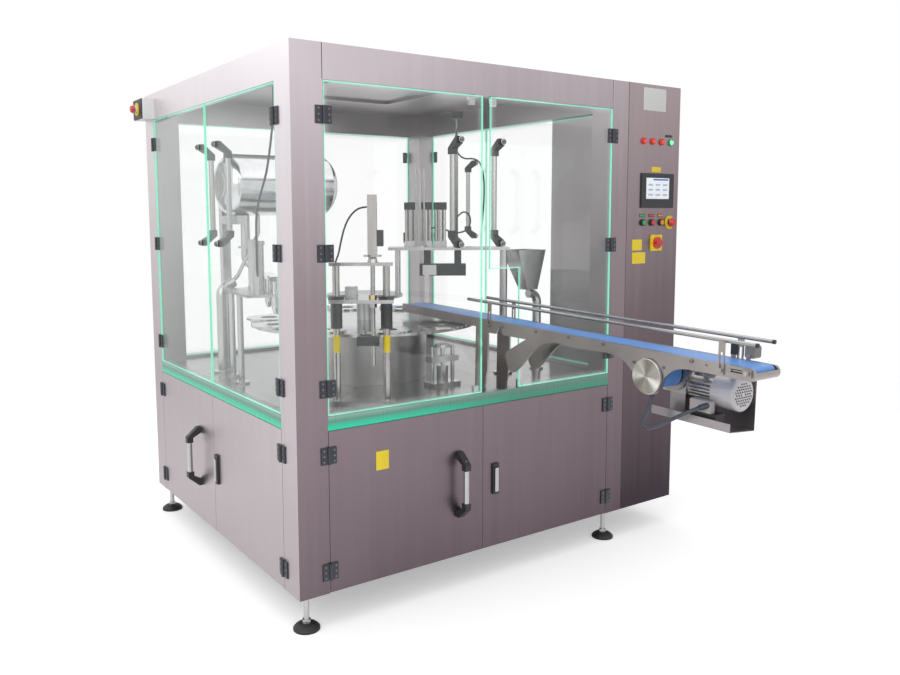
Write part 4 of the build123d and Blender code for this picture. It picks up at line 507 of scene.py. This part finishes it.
def pane_material(name, where, span, low, notch=None):
    """Clear glass that mirrors by its angle, lit in green along its border.

    span is the pane's reach along its wall, low its lower edge, and notch the (x, z) of the
    corner past which the pane stands, all in cabinet mm.
    """
    made, tree, shader = new_material(name + "_pane")
    shader.inputs["Metallic"].default_value = 1.0
    shader.inputs["IOR"].default_value = 1.5
    axes = place_split(tree)
    start, right, _ = WALLS[where]
    index = 0 if abs(right.x) > 0.5 else 1
    ends = sorted((start + right * u)[index] for u in span)
    offset = ORIGIN[index]
    along = axes["XY"[index]]
    first = calc(tree, "SUBTRACT", along, offset + ends[0] * MM)
    last = calc(tree, "SUBTRACT", offset + ends[1] * MM, along)
    bottom = calc(tree, "SUBTRACT", axes["Z"], at(0, 0, low).z)
    top = calc(tree, "SUBTRACT", at(0, 0, GLASS_TOP).z, axes["Z"])
    edge = calc(tree, "MINIMUM", calc(tree, "MINIMUM", first, last),
                calc(tree, "MINIMUM", bottom, top))
    if notch:
        past = calc(tree, "MAXIMUM", calc(tree, "SUBTRACT", along, offset + notch[0] * MM),
                    calc(tree, "SUBTRACT", axes["Z"], at(0, 0, notch[1]).z))
        edge = calc(tree, "MINIMUM", edge, past)
    line = spread(tree, edge, 1.0, 0.0, 0.0, GLOW_WIDE)
    halo = spread(tree, edge, 1.0, 0.0, 0.0, GLOW_HALO)
    halo = calc(tree, "MULTIPLY", calc(tree, "POWER", halo, 2.0), 0.16)
    drift = noise(tree, 2, detail=2.0)
    clear = stops(tree, drift, (0.3, (0.86, 0.95, 0.92)), (0.7, (0.93, 0.98, 0.96)))
    tree.links.new(blend(tree, line, clear, (0.30, 0.80, 0.62)), shader.inputs["Base Color"])
    tree.links.new(spread(tree, noise(tree, 30), 0.012, 0.03), shader.inputs["Roughness"])
    facing = tree.nodes.new("ShaderNodeLayerWeight")
    facing.inputs["Blend"].default_value = 0.5
    grazing = calc(tree, "POWER", facing.outputs["Facing"], 4.0)
    mirror = spread(tree, grazing, 0.03, 0.6, 0.0, 1.0)
    lit = calc(tree, "MAXIMUM", calc(tree, "MULTIPLY", line, 0.7), halo)
    tree.links.new(calc(tree, "MAXIMUM", mirror, lit), shader.inputs["Alpha"])
    shader.inputs["Emission Color"].default_value = (0.16, 0.86, 0.58, 1)
    shine = calc(tree, "MULTIPLY", calc(tree, "MAXIMUM", line, halo), 0.42)
    tree.links.new(shine, shader.inputs["Emission Strength"])
    return made


# Pieces
def paint(node, default, *rules):
    """Gives a part its finish; each rule is (material, test of centre in mm and normal)."""
    mesh = NODES[node].data
    mesh.materials.clear()
    mesh.materials.append(default)
    for made, _ in rules:
        mesh.materials.append(made)
    for face in mesh.polygons:
        centre = (face.center - ORIGIN) / MM
        face.material_index = 0
        for index, (_, test) in enumerate(rules, 1):
            if test(centre, face.normal):
                face.material_index = index
                break


def finish_mesh(name, bm, material, body):
    """Makes a piece of the mesh, which rides on a body and fills a material slot."""
    mesh = bpy.data.meshes.new(name)
    bmesh.ops.recalc_face_normals(bm, faces=bm.faces)
    bm.to_mesh(mesh)
    bm.free()
    mesh.materials.append(material)
    piece = bpy.data.objects.new(name, mesh)
    bpy.context.scene.collection.objects.link(piece)
    mesh.polygons.foreach_set("use_smooth", [True] * len(mesh.polygons))
    mesh.set_sharp_from_angle(angle=math.radians(35))
    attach(piece, body)


def frame_of(direction):
    """The turn that takes the z axis to a direction."""
    return Vector((0, 0, 1)).rotation_difference(Vector(direction)).to_matrix().to_4x4()


def lathe(bm, start, direction, rings, sides=20, caps=True):
    """A turned form: rings are (distance along, radius) in metres from the start point."""
    place = Matrix.Translation(start) @ frame_of(direction)
    loops = []
    for along, radius in rings:
        loop = []
        for step in range(sides):
            a = 2 * math.pi * step / sides
            spot = Vector((radius * math.cos(a), radius * math.sin(a), along))
            loop.append(bm.verts.new(place @ spot))
        loops.append(loop)
    for low, high in zip(loops, loops[1:]):
        for step in range(sides):
            after = (step + 1) % sides
            bm.faces.new((low[step], low[after], high[after], high[step]))
    if caps:
        bm.faces.new(list(reversed(loops[0])))
        bm.faces.new(loops[-1])


def screw(bm, spot, direction, radius, height):
    """A socket head screw: a domed rim with a six sided recess; radius and height in metres."""
    direction = Vector(direction).normalized()
    socket = radius * 0.5
    rim = [(-0.0003, radius), (height * 0.75, radius), (height, radius * 0.86), (height, socket)]
    lathe(bm, spot, direction, rim, 12, caps=False)
    lathe(bm, spot, direction, [(height, socket), (height * 0.35, socket)], 6)


def slab(bm, centre, size, soft=0.0):
    """A box with bevelled edges; size and bevel in metres."""
    made = bmesh.ops.create_cube(bm, size=1.0)["verts"]
    place = Matrix.Translation(centre) @ Matrix.Diagonal((*size, 1))
    bmesh.ops.transform(bm, matrix=place, verts=made)
    if soft:
        edges = {e for v in made for e in v.link_edges}
        bmesh.ops.bevel(bm, geom=list(edges), offset=soft, segments=2, affect="EDGES", profile=0.6)


# Finish of each part; a test takes a face's centre in cabinet mm and its normal. Faces that look
# out of the front or the left and lie less than SKIN_DEEP inside it get that side's copy of the
# steel:
# the left's in painted light, the front's in painted shade.
SKIN_DEEP = 130
SILL_END = 1500
PROUD = 0.05


def on_front(c, n):
    return n.y < -0.5 and c.y < SKIN_DEEP


def on_sill(c, n):
    outside = c.y < 1 or c.x < 1
    return outside and DOOR_TOP - 1 < c.z < SILL_TOP + 1 and n.z < 0.5 and c.x < SILL_END


def depth_of(where):
    """How far out of a wall a point lies, in mm."""
    start, _, out = WALLS[where]
    return lambda c: (c - start).dot(out)


def across_of(where, u):
    """How far beside u on a wall a point lies, in mm."""
    start, right, _ = WALLS[where]
    return lambda c: abs((c - start).dot(right) - u)


def proud(where):
    """Test for what stands out of a wall's face."""
    depth = depth_of(where)
    return lambda c, n: depth(c) > PROUD


def beside(where, u, reach, near=PROUD):
    """Test for faces within reach of u on a wall and further out of it than near."""
    across, depth = across_of(where, u), depth_of(where)
    return lambda c, n: across(c) < reach and near < depth(c)


def between(low, high):
    """Test for faces between two heights."""
    return lambda c, n: low < c.z < high


FACING = (
    (front_steel_painted_shade, lambda c, n: on_front(c, n) and c.x < BODY_W),
    (control_steel_painted_shade, on_front),
    (left_steel_painted_light, lambda c, n: n.x < -0.5 and c.x < SKIN_DEEP),
)
paint("cabinet_frame", sheet, (sill_green, on_sill), *FACING)
for name in ("roof_and_fascia", "lower_covers", "control_cabinet"):
    paint(name, sheet, *FACING)

# Lower doors: two have a handle and two a lock, each black beside its place on the wall
PAN_ARM_REACH, LOCK_PLATE = 16, 1.9


def pan_tube(where):
    """Test for the steel grip between the two arms of a lower door's handle."""
    depth = depth_of(where)
    low, high = PAN_TUBE_OUT
    return lambda c, n: PAN_TUBE_Z[0] < c.z < PAN_TUBE_Z[1] and low < depth(c) < high


for name, u in PAN_HANDLES.items():
    where = name.split("_")[0]
    paint(name, sheet, (rod_steel, pan_tube(where)), (black, beside(where, u, PAN_ARM_REACH)),
          (hinge, proud(where)), *FACING)
for name, u in PAN_LOCKS.items():
    where = name.split("_")[0]
    paint(name, sheet, (black, beside(where, u, PAN_ARM_REACH, LOCK_PLATE)),
          (hinge, proud(where)), *FACING)

# Glass doors: wall, place of the handle, reach of the pane along the wall, and its notch as
# (x, z) of the corner past which the pane stands
GLASS = {
    "front_glass_left": ("front", 697.0, (122, 799), None),
    "front_glass_right": ("front", 900.0, (837, 1503), (988, 1121)),
    "left_glass_rear": ("left", 712.0, (122, 793), None),
    "left_glass_front": ("left", 898.0, (795, 1470), None),
    "rear_glass_left": ("rear", 880.0, (791, 1482), None),
    "rear_glass_right": ("rear", 700.0, (101, 789), None),
    "right_glass_rear": ("right", 1070.0, (981, 1470), None),
}
FIXED_SPAN, FIXED_LOW = (120.3, 979), 637
# Half width of a handle's grip and arms, depth of the grip, and where a pane's edges lie
GRIP_REACH, GLASS_ARM_REACH, GRIP_OUT = 11.5, 13, -44
RIM_IN, RIM_OUT = -GLASS_THICK - 0.01, 0.01


def glass_tube(where, u):
    """Test for the steel grip of the handle inside a glass door."""
    across, depth = across_of(where, u), depth_of(where)
    low, high = GLASS_TUBE_Z
    return lambda c, n: across(c) < GRIP_REACH and depth(c) < GRIP_OUT and low < c.z < high


def pane_rim(where):
    """Test for the ground edges of a pane."""
    out, depth = WALLS[where][2], depth_of(where)
    return lambda c, n: abs(n.dot(out)) < 0.5 and RIM_IN < depth(c) < RIM_OUT


def behind_pane(where):
    """Test for what lies inside a pane's inner face."""
    depth = depth_of(where)
    return lambda c, n: depth(c) <= RIM_IN


for name, (where, u, span, notch) in GLASS.items():
    paint(name, pane_material(name, where, span, GLASS_LOW, notch),
          (rod_steel, glass_tube(where, u)), (bright, beside(where, u, GLASS_ARM_REACH)),
          (edge_green_glow, pane_rim(where)), (hinge, proud(where)), (black, behind_pane(where)))
paint("right_fixed_pane", pane_material("right_fixed_pane", "right", FIXED_SPAN, FIXED_LOW),
      (edge_green_glow, lambda c, n: abs(n.x) < 0.5))

for name, made in {
    "deck_plate": dark_deck, "hinge_pins": hinge, "lock_lever_front": bright,
    "lock_lever_left": bright, "green_button": green, "red_button": red, "orange_button": orange,
    "emergency_stop_front": red, "emergency_stop_rear": red, "isolator_knob": red,
    "touch_screen": black, "index_drive": cast, "turret_drum": drum_steel,
    "turntable": ring_steel, "cup_holders": ring_steel, "slider_bed": bright,
    "conveyor_belt": belt_blue, "tail_roller": bright, "nose_roller": bright,
    "worm_gearbox": cast, "motor_fan": black, "bridge_frame": bright, "transfer_arm": bright,
    "lifter_base": rod_steel, "cup_lifter": bright, "filling_frame": bright,
    "filling_nozzles": polish, "product_tank": tank_steel, "tank_stand": bright,
    "waste_chute": bright,
}.items():
    paint(name, made)


def conv_spot(c):
    """Conveyor coordinates (s, h, z) of a point in cabinet mm."""
    s = -c.y * math.cos(TILT) - (c.z - CONV_Z) * math.sin(TILT)
    h = -c.y * math.sin(TILT) + (c.z - CONV_Z) * math.cos(TILT)
    return s, h, CONV_X - c.x


def conv_box(s, h, z):
    """Test for faces inside a box of conveyor coordinates."""
    def test(c, n):
        spot = conv_spot(c)
        return all(low <= value <= high for value, (low, high) in zip(spot, (s, h, z)))
    return test


def near_column(c, reach):
    """Whether a point lies within reach of the axis of a press column."""
    return any(math.hypot(c.x - x, c.y - y) < reach for x, y in COLUMNS)


paint("levelling_feet", bright,
      (rubber, lambda c, n: c.z < -104.1))  # pads

# Conveyor
paint("side_plates", plate,
      (black, conv_box((770, 798), (-200, -131), (30, 56))))  # cable gland
paint("drive_drum", bright,
      (disc_face, lambda c, n: n.x < -0.9 and conv_spot(c)[2] > 65))  # disc on the shaft's end
paint("guide_rails", rail_steel,
      (black, conv_box((985, 1015), (7.9, 49), (-77, -59))),  # cup sensor
      (grey_box, conv_box((1032, 1074), (3.9, 43), (-97, -63.9))),  # junction box
      (plate, lambda c, n: abs(abs(CONV_X - c.x) - 62.5) < 3.2))  # flats of the brackets
paint("gear_motor", fins,
      (conduit, conv_box((880, 945), (-178, -140), (-35.5, 8))),  # gland
      (cream_box, conv_box((860, 950), (-186, -147), (-90, -30))),  # terminal box
      (cover_paint, conv_box((918, 1010), (-190, -60), (-175, -55))))  # fan cover
paint("motor_tray", sheet,
      (black, conv_box((883, 967), (-228, -184), (-84, -36))),  # pad under the terminal box
      *FACING)

# Press and bridge
paint("press_crosshead", bright,
      (black, lambda c, n: c.z < 1004.5 and near_column(c, 23)),  # guide sleeves
      (white_nylon, lambda c, n: c.z < 976),  # pads over the cups
      (black, between(1019.5, 1032)))  # blocks over the sleeves
paint("press_columns", column_steel,
      (black, lambda c, n: 1215 < c.z < 1280 and c.x > 398),  # valve on the cylinder
      (bright, lambda c, n: c.z < 640 or (1144 < c.z < 1158 and n.z != 0)))  # foot, top plate
paint("press_ram", rod_steel,
      (brass, between(1018, 1036)),  # nut over the crosshead
      (black, between(845, 881)))  # tool block
paint("bridge_units", rod_steel,
      (black, lambda c, n: c.z < 1180),  # linear axis
      (black, between(1355, 1389)),  # heads of the cylinders
      (bright, between(1191, 1219)),  # feet of the cylinders
      (black, lambda c, n: c.z > 1750))  # head of the mast

# Operator's fittings
LAMPS_LOW, GREEN_LAMP_X, LENS_OUT = 1630, 1850, -3.9
ISOLATOR_TOP, STOP_RING_OUT = 1250, -4.2
paint("stop_station", pale_plate,
      (black, lambda c, n: -60.1 < c.x < -54.9),  # lid
      (yellow, lambda c, n: -64.2 < c.x < -60))  # ring round the button
paint("panel_fittings", black,
      (lamp_red, lambda c, n: c.z > LAMPS_LOW and c.y < LENS_OUT and c.x < GREEN_LAMP_X),
      (lamp_green, lambda c, n: c.z > LAMPS_LOW and c.y < LENS_OUT),
      (bright, lambda c, n: c.z > LAMPS_LOW),  # collars of the lamps
      (yellow, lambda c, n: c.x > GREEN_LAMP_X and c.y > STOP_RING_OUT and c.z > ISOLATOR_TOP),
      (yellow, lambda c, n: c.z < ISOLATOR_TOP))  # plate of the isolator

cable = soft_line("motor_cable_sheath", [at(*point) for point in CABLE_ROUTE],
                  CABLE_THICK * MM)
cable.data.materials.append(conduit)
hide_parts("motor_cable")
for name, (thick, points) in HOSES.items():
    hose = soft_line(name, [at(*point) for point in points], thick * MM)
    hose.data.materials.append(hose_black)


# Front panel: screen, bare plates and tags
def front_slabs(name, material, slot, *boxes):
    """Thin plates on the front; each is (x, z, width, height, low, high) in mm out of the wall."""
    bm = bmesh.new()
    for x, z, width, height, low, high in boxes:
        size = (width * MM, (high - low) * MM, height * MM)
        slab(bm, at(x, -(low + high) / 2, z), size, soft=0.0003)
    finish_mesh(name, bm, material, "machine")


# How far out of the wall each kind starts and ends, in mm
SCREEN_N, MARK_N = (4.5, 5.3), (5.3, 5.7)
PLATE_N, LABEL_N = (0.1, 1.1), (0.1, 0.6)
TAG_N, INLAY_N = (0.1, 1.0), (1.0, 1.3)
screen_x, screen_z = sum(SCREEN_X) / 2, sum(SCREEN_Z) / 2
front_slabs("screen_face", screen, "dark_plastic", (screen_x, screen_z, 153, 93, *SCREEN_N))
front_slabs("screen_header", blue_bar, "dark_plastic",
            (screen_x + 20, screen_z + 39, 100, 7, *MARK_N))
fields = [(screen_x - 48 + 48 * column, screen_z - 28 + 22 * row, 30, 8, *MARK_N)
          for column in range(3) for row in range(3)]
front_slabs("screen_fields", field_grey, "dark_plastic", *fields)
front_slabs("name_plate", pale_plate, "turned_steel", (1768, 1836, 148, 98, *PLATE_N))
front_slabs("yellow_labels", yellow, "orange_plastic", (1788, 1531, 60, 23, *LABEL_N),
            (1673, 1197, 64, 48, *LABEL_N), (1686, 1139, 86, 50, *LABEL_N))
TAG_X, TAG_Z = [x - 3 for x in BUTTON_X], 1327
front_slabs("button_tags", black, "dark_plastic", *[(x, TAG_Z, 38, 14, *TAG_N) for x in TAG_X],
            (LAMP_X[3] - 14, LAMP_Z + 28, 46, 11, *TAG_N))
for x, material, color in zip(TAG_X, (green, red, orange), ("green", "red", "orange")):
    front_slabs(color + "_tag", material, color + "_plastic", (x, TAG_Z, 34, 9, *INLAY_N))
bm = bmesh.new()
slab(bm, at(340, -0.35, 446), (0.054, 0.0005, 0.070), soft=0.0002)
finish_mesh("door_label", bm, yellow, "front_lower_left")

# Coloured rims of the lamps: (distance out, radius) in metres
LAMP_RIM = [(0.0001, 0.0122), (0.0001, 0.0152), (0.004, 0.0150), (0.007, 0.0135),
            (0.007, 0.0122)]
for name, places, material, slot in (("lamp_rims", LAMP_X[:3], red, "red_plastic"),
                                     ("lamp_rim_green", LAMP_X[3:], green, "green_plastic")):
    bm = bmesh.new()
    for x in places:
        lathe(bm, at(x, 0, LAMP_Z), (0, -1, 0), LAMP_RIM, 24, caps=False)
    finish_mesh(name, bm, material, "machine")

# Black rubber seals in the gaps between the lower doors, standing in for the shade in the gaps
SEAL_THICK, SEAL_DEEP = 0.0017, 0.019
bm = bmesh.new()
slab(bm, at(804.9, 10, DOOR_MIDDLE_Z), (SEAL_THICK, SEAL_DEEP, DOOR_TALL * MM))
finish_mesh("front_door_seal_shade", bm, hose_black, "front_lower_left")
bm = bmesh.new()
slab(bm, at(10, 798.1, DOOR_MIDDLE_Z), (SEAL_DEEP, SEAL_THICK, DOOR_TALL * MM))
finish_mesh("left_door_seal_shade", bm, hose_black, "left_lower_rear")

# Screws on the hinge leaves and handles. Each door has its wall, the place of its pin, and the
# side of the pin on which it hangs.
PIN, PIN_RIGHT = POST + 1, POST_RIGHT + 1
PINS = {
    "front_glass_left": ("front", PIN, 1),
    "front_glass_right": ("front", BODY_W - PIN_RIGHT, -1),
    "left_glass_rear": ("left", PIN, 1),
    "left_glass_front": ("left", BODY_D - PIN, -1),
    "rear_glass_right": ("rear", PIN_RIGHT, 1),
    "rear_glass_left": ("rear", BODY_W - PIN, -1),
    "right_glass_rear": ("right", BODY_D - PIN, -1),
    "front_lower_left": ("front", PIN, 1),
    "front_lower_right": ("front", BODY_W - PIN_RIGHT, -1),
    "left_lower_rear": ("left", PIN, 1),
    "left_lower_front": ("left", BODY_D - PIN, -1),
}
LEAF_SCREWS, LEAF_MIDDLE, LEAF_OUT = (-20, 0, 20), 20, 5
# The lower handles' arms lean: (height, share upward) of each screw, and its share outward
ARM_SCREWS, ARM_LEAN, ARM_OUT = ((392, 0.753), (190, -0.753)), 0.657, 46.9
GLASS_ARM_OUT = 4
# Radius and height of the heads, in metres
LEAF_HEAD, GLASS_HEAD, ARM_HEAD = (0.0036, 0.0018), (0.008, 0.005), (0.005, 0.0015)
fixed_screws = bmesh.new()
for name, (where, u, side) in PINS.items():
    door_screws = bmesh.new()
    out = WALLS[where][2]
    for height in (PAN_HINGE_Z if "lower" in name else GLASS_HINGE_Z):
        for step in LEAF_SCREWS:
            for bm, way in ((door_screws, side), (fixed_screws, -side)):
                spot = wall(where, u + way * LEAF_MIDDLE, height + step, LEAF_OUT)
                screw(bm, at(*spot), out, *LEAF_HEAD)
    if name in GLASS:
        for height in GLASS_HANDLE_Z:
            spot = wall(where, GLASS[name][1], height, GLASS_ARM_OUT)
            screw(door_screws, at(*spot), out, *GLASS_HEAD)
    if name in PAN_HANDLES:
        for height, rise in ARM_SCREWS:
            spot = wall(where, PAN_HANDLES[name], height, ARM_OUT)
            screw(door_screws, at(*spot), out * ARM_LEAN + Vector((0, 0, rise)), *ARM_HEAD)
    finish_mesh(name + "_screws", door_screws, screw_steel, name)
finish_mesh("hinge_screws", fixed_screws, screw_steel, "machine")

# Bolts on the conveyor's side plates, each (outward, up, radius) in mm
PLATE_BOLTS = ((60, -18, 5.0), (250, -12, 5.0), (420, -10, 5.0), (585, -10, 6.5),
               (720, -48, 5.5), (839, -47, 5.5), (942, -10, 6.5), (995, -13, 3.5))
bm = bmesh.new()
for side in (1, -1):
    for s, h, radius in PLATE_BOLTS:
        screw(bm, conv(s, h, side * HALF_OUT), (-side, 0, 0), radius * MM, radius * 0.7 * MM)
finish_mesh("plate_bolts", bm, screw_steel, "machine")

# Dark caps on the ends of the guide rails; the form is (distance out, radius) in metres
RAIL_CAP = [(-0.006, 0.0066), (0.0005, 0.0066), (0.001, 0.005)]
bm = bmesh.new()
for s, z in ((1155, 50), (1142, -50)):
    lathe(bm, conv(s, RAIL_H, z), (0, -1, 0), RAIL_CAP, 20)
finish_mesh("rail_caps", bm, hose_black, "machine")

# Clips at the corners of the front panes, on the frame behind them, each (x, low z, high z)
CLIP_TOP, CLIP_FOOT = (1744, FASCIA_LOW + 0.5), (SILL_TOP - 0.5, 668)
CLIPS = ((756, *CLIP_TOP), (860, *CLIP_TOP), (780, *CLIP_FOOT), (1007, *CLIP_FOOT))
bm = bmesh.new()
for x, low, high in CLIPS:
    middle = (low + high) / 2
    slab(bm, at(x, 17, middle), (0.026, 0.016, (high - low) * MM), soft=0.002)
    screw(bm, at(x, 9, middle), (0, -1, 0), 0.004, 0.0005)
finish_mesh("pane_clips", bm, bright, "machine")

# Stage: a pale floor, which goes over into the white background between the two distances
FLOOR_HALF = 14.0
FLOOR_LIFT = 0.36
FLOOR_NEAR, FLOOR_FAR = 2.2, 5.5
floor_mesh = bpy.data.meshes.new("floor")
bm = bmesh.new()
bmesh.ops.create_grid(bm, x_segments=1, y_segments=1, size=FLOOR_HALF)
bm.to_mesh(floor_mesh)
bm.free()
floor = bpy.data.objects.new("floor", floor_mesh)
bpy.context.scene.collection.objects.link(floor)


def seen_ways(tree):
    """One for camera, mirror and see-through rays, zero for the rays that light the object."""
    ways = tree.nodes.new("ShaderNodeLightPath").outputs
    pair = calc(tree, "ADD", ways["Is Camera Ray"], ways["Is Glossy Ray"], clamp=True)
    return calc(tree, "ADD", pair, ways["Is Transmission Ray"], clamp=True)


made, tree, shader = new_material("floor")
shader.inputs["Base Color"].default_value = (0.86, 0.86, 0.86, 1)
shader.inputs["Roughness"].default_value = 0.7
shader.inputs["Specular IOR Level"].default_value = 0.2
seen = seen_ways(tree)
shader.inputs["Emission Color"].default_value = (1, 1, 1, 1)
tree.links.new(calc(tree, "MULTIPLY", seen, FLOOR_LIFT), shader.inputs["Emission Strength"])
reach = tree.nodes.new("ShaderNodeVectorMath")
reach.operation = "LENGTH"
tree.links.new(coords(tree), reach.inputs[0])
far = spread(tree, reach.outputs["Value"], 0.0, 1.0, FLOOR_NEAR, FLOOR_FAR)
shine = tree.nodes.new("ShaderNodeEmission")
tree.links.new(seen, shine.inputs["Strength"])
mixed = tree.nodes.new("ShaderNodeMixShader")
tree.links.new(far, mixed.inputs["Fac"])
tree.links.new(shader.outputs[0], mixed.inputs[1])
tree.links.new(shine.outputs[0], mixed.inputs[2])
tree.links.new(mixed.outputs[0], tree.nodes["Material Output"].inputs["Surface"])
floor_mesh.materials.append(made)

ROOM_LIGHT = 0.62
world = bpy.data.worlds.new("studio")
bpy.context.scene.world = world
world.use_nodes = True
tree = world.node_tree
back = tree.nodes["Background"]
back.inputs["Color"].default_value = (1, 1, 1, 1)
tree.links.new(spread(tree, seen_ways(tree), ROOM_LIGHT, 1.0, 0.0, 1.0), back.inputs["Strength"])


def softbox(name, spot, aim, size, power):
    """A plain rectangular lamp at a spot, turned to its aim."""
    data = bpy.data.lights.new(name, "AREA")
    data.shape = "RECTANGLE"
    data.size, data.size_y = size
    data.energy = power
    lamp = bpy.data.objects.new(name, data)
    bpy.context.scene.collection.objects.link(lamp)
    lamp.location = Vector(spot)
    lamp.rotation_mode = "QUATERNION"
    lamp.rotation_quaternion = (Vector(aim) - Vector(spot)).to_track_quat("-Z", "Y")
    return lamp


AIM = (0, 0, 1.0)
softbox("key", (-4.8, -1.8, 4.0), AIM, (4.6, 4.6), 105)
softbox("fill", (-1.0, -5.8, 3.4), AIM, (4.2, 3.8), 60)
softbox("rim", (-3.0, 4.8, 5.2), AIM, (4.0, 4.0), 60)
softbox("top", (0, 0.4, 5.6), AIM, (5.0, 5.0), 75)
cabin = softbox("cabin", tuple(at(700, 700, 1880)), tuple(at(700, 700, 900)), (1.1, 1.1), 5)
cabin.visible_camera = False

bpy.context.scene.view_settings.view_transform = "Standard"
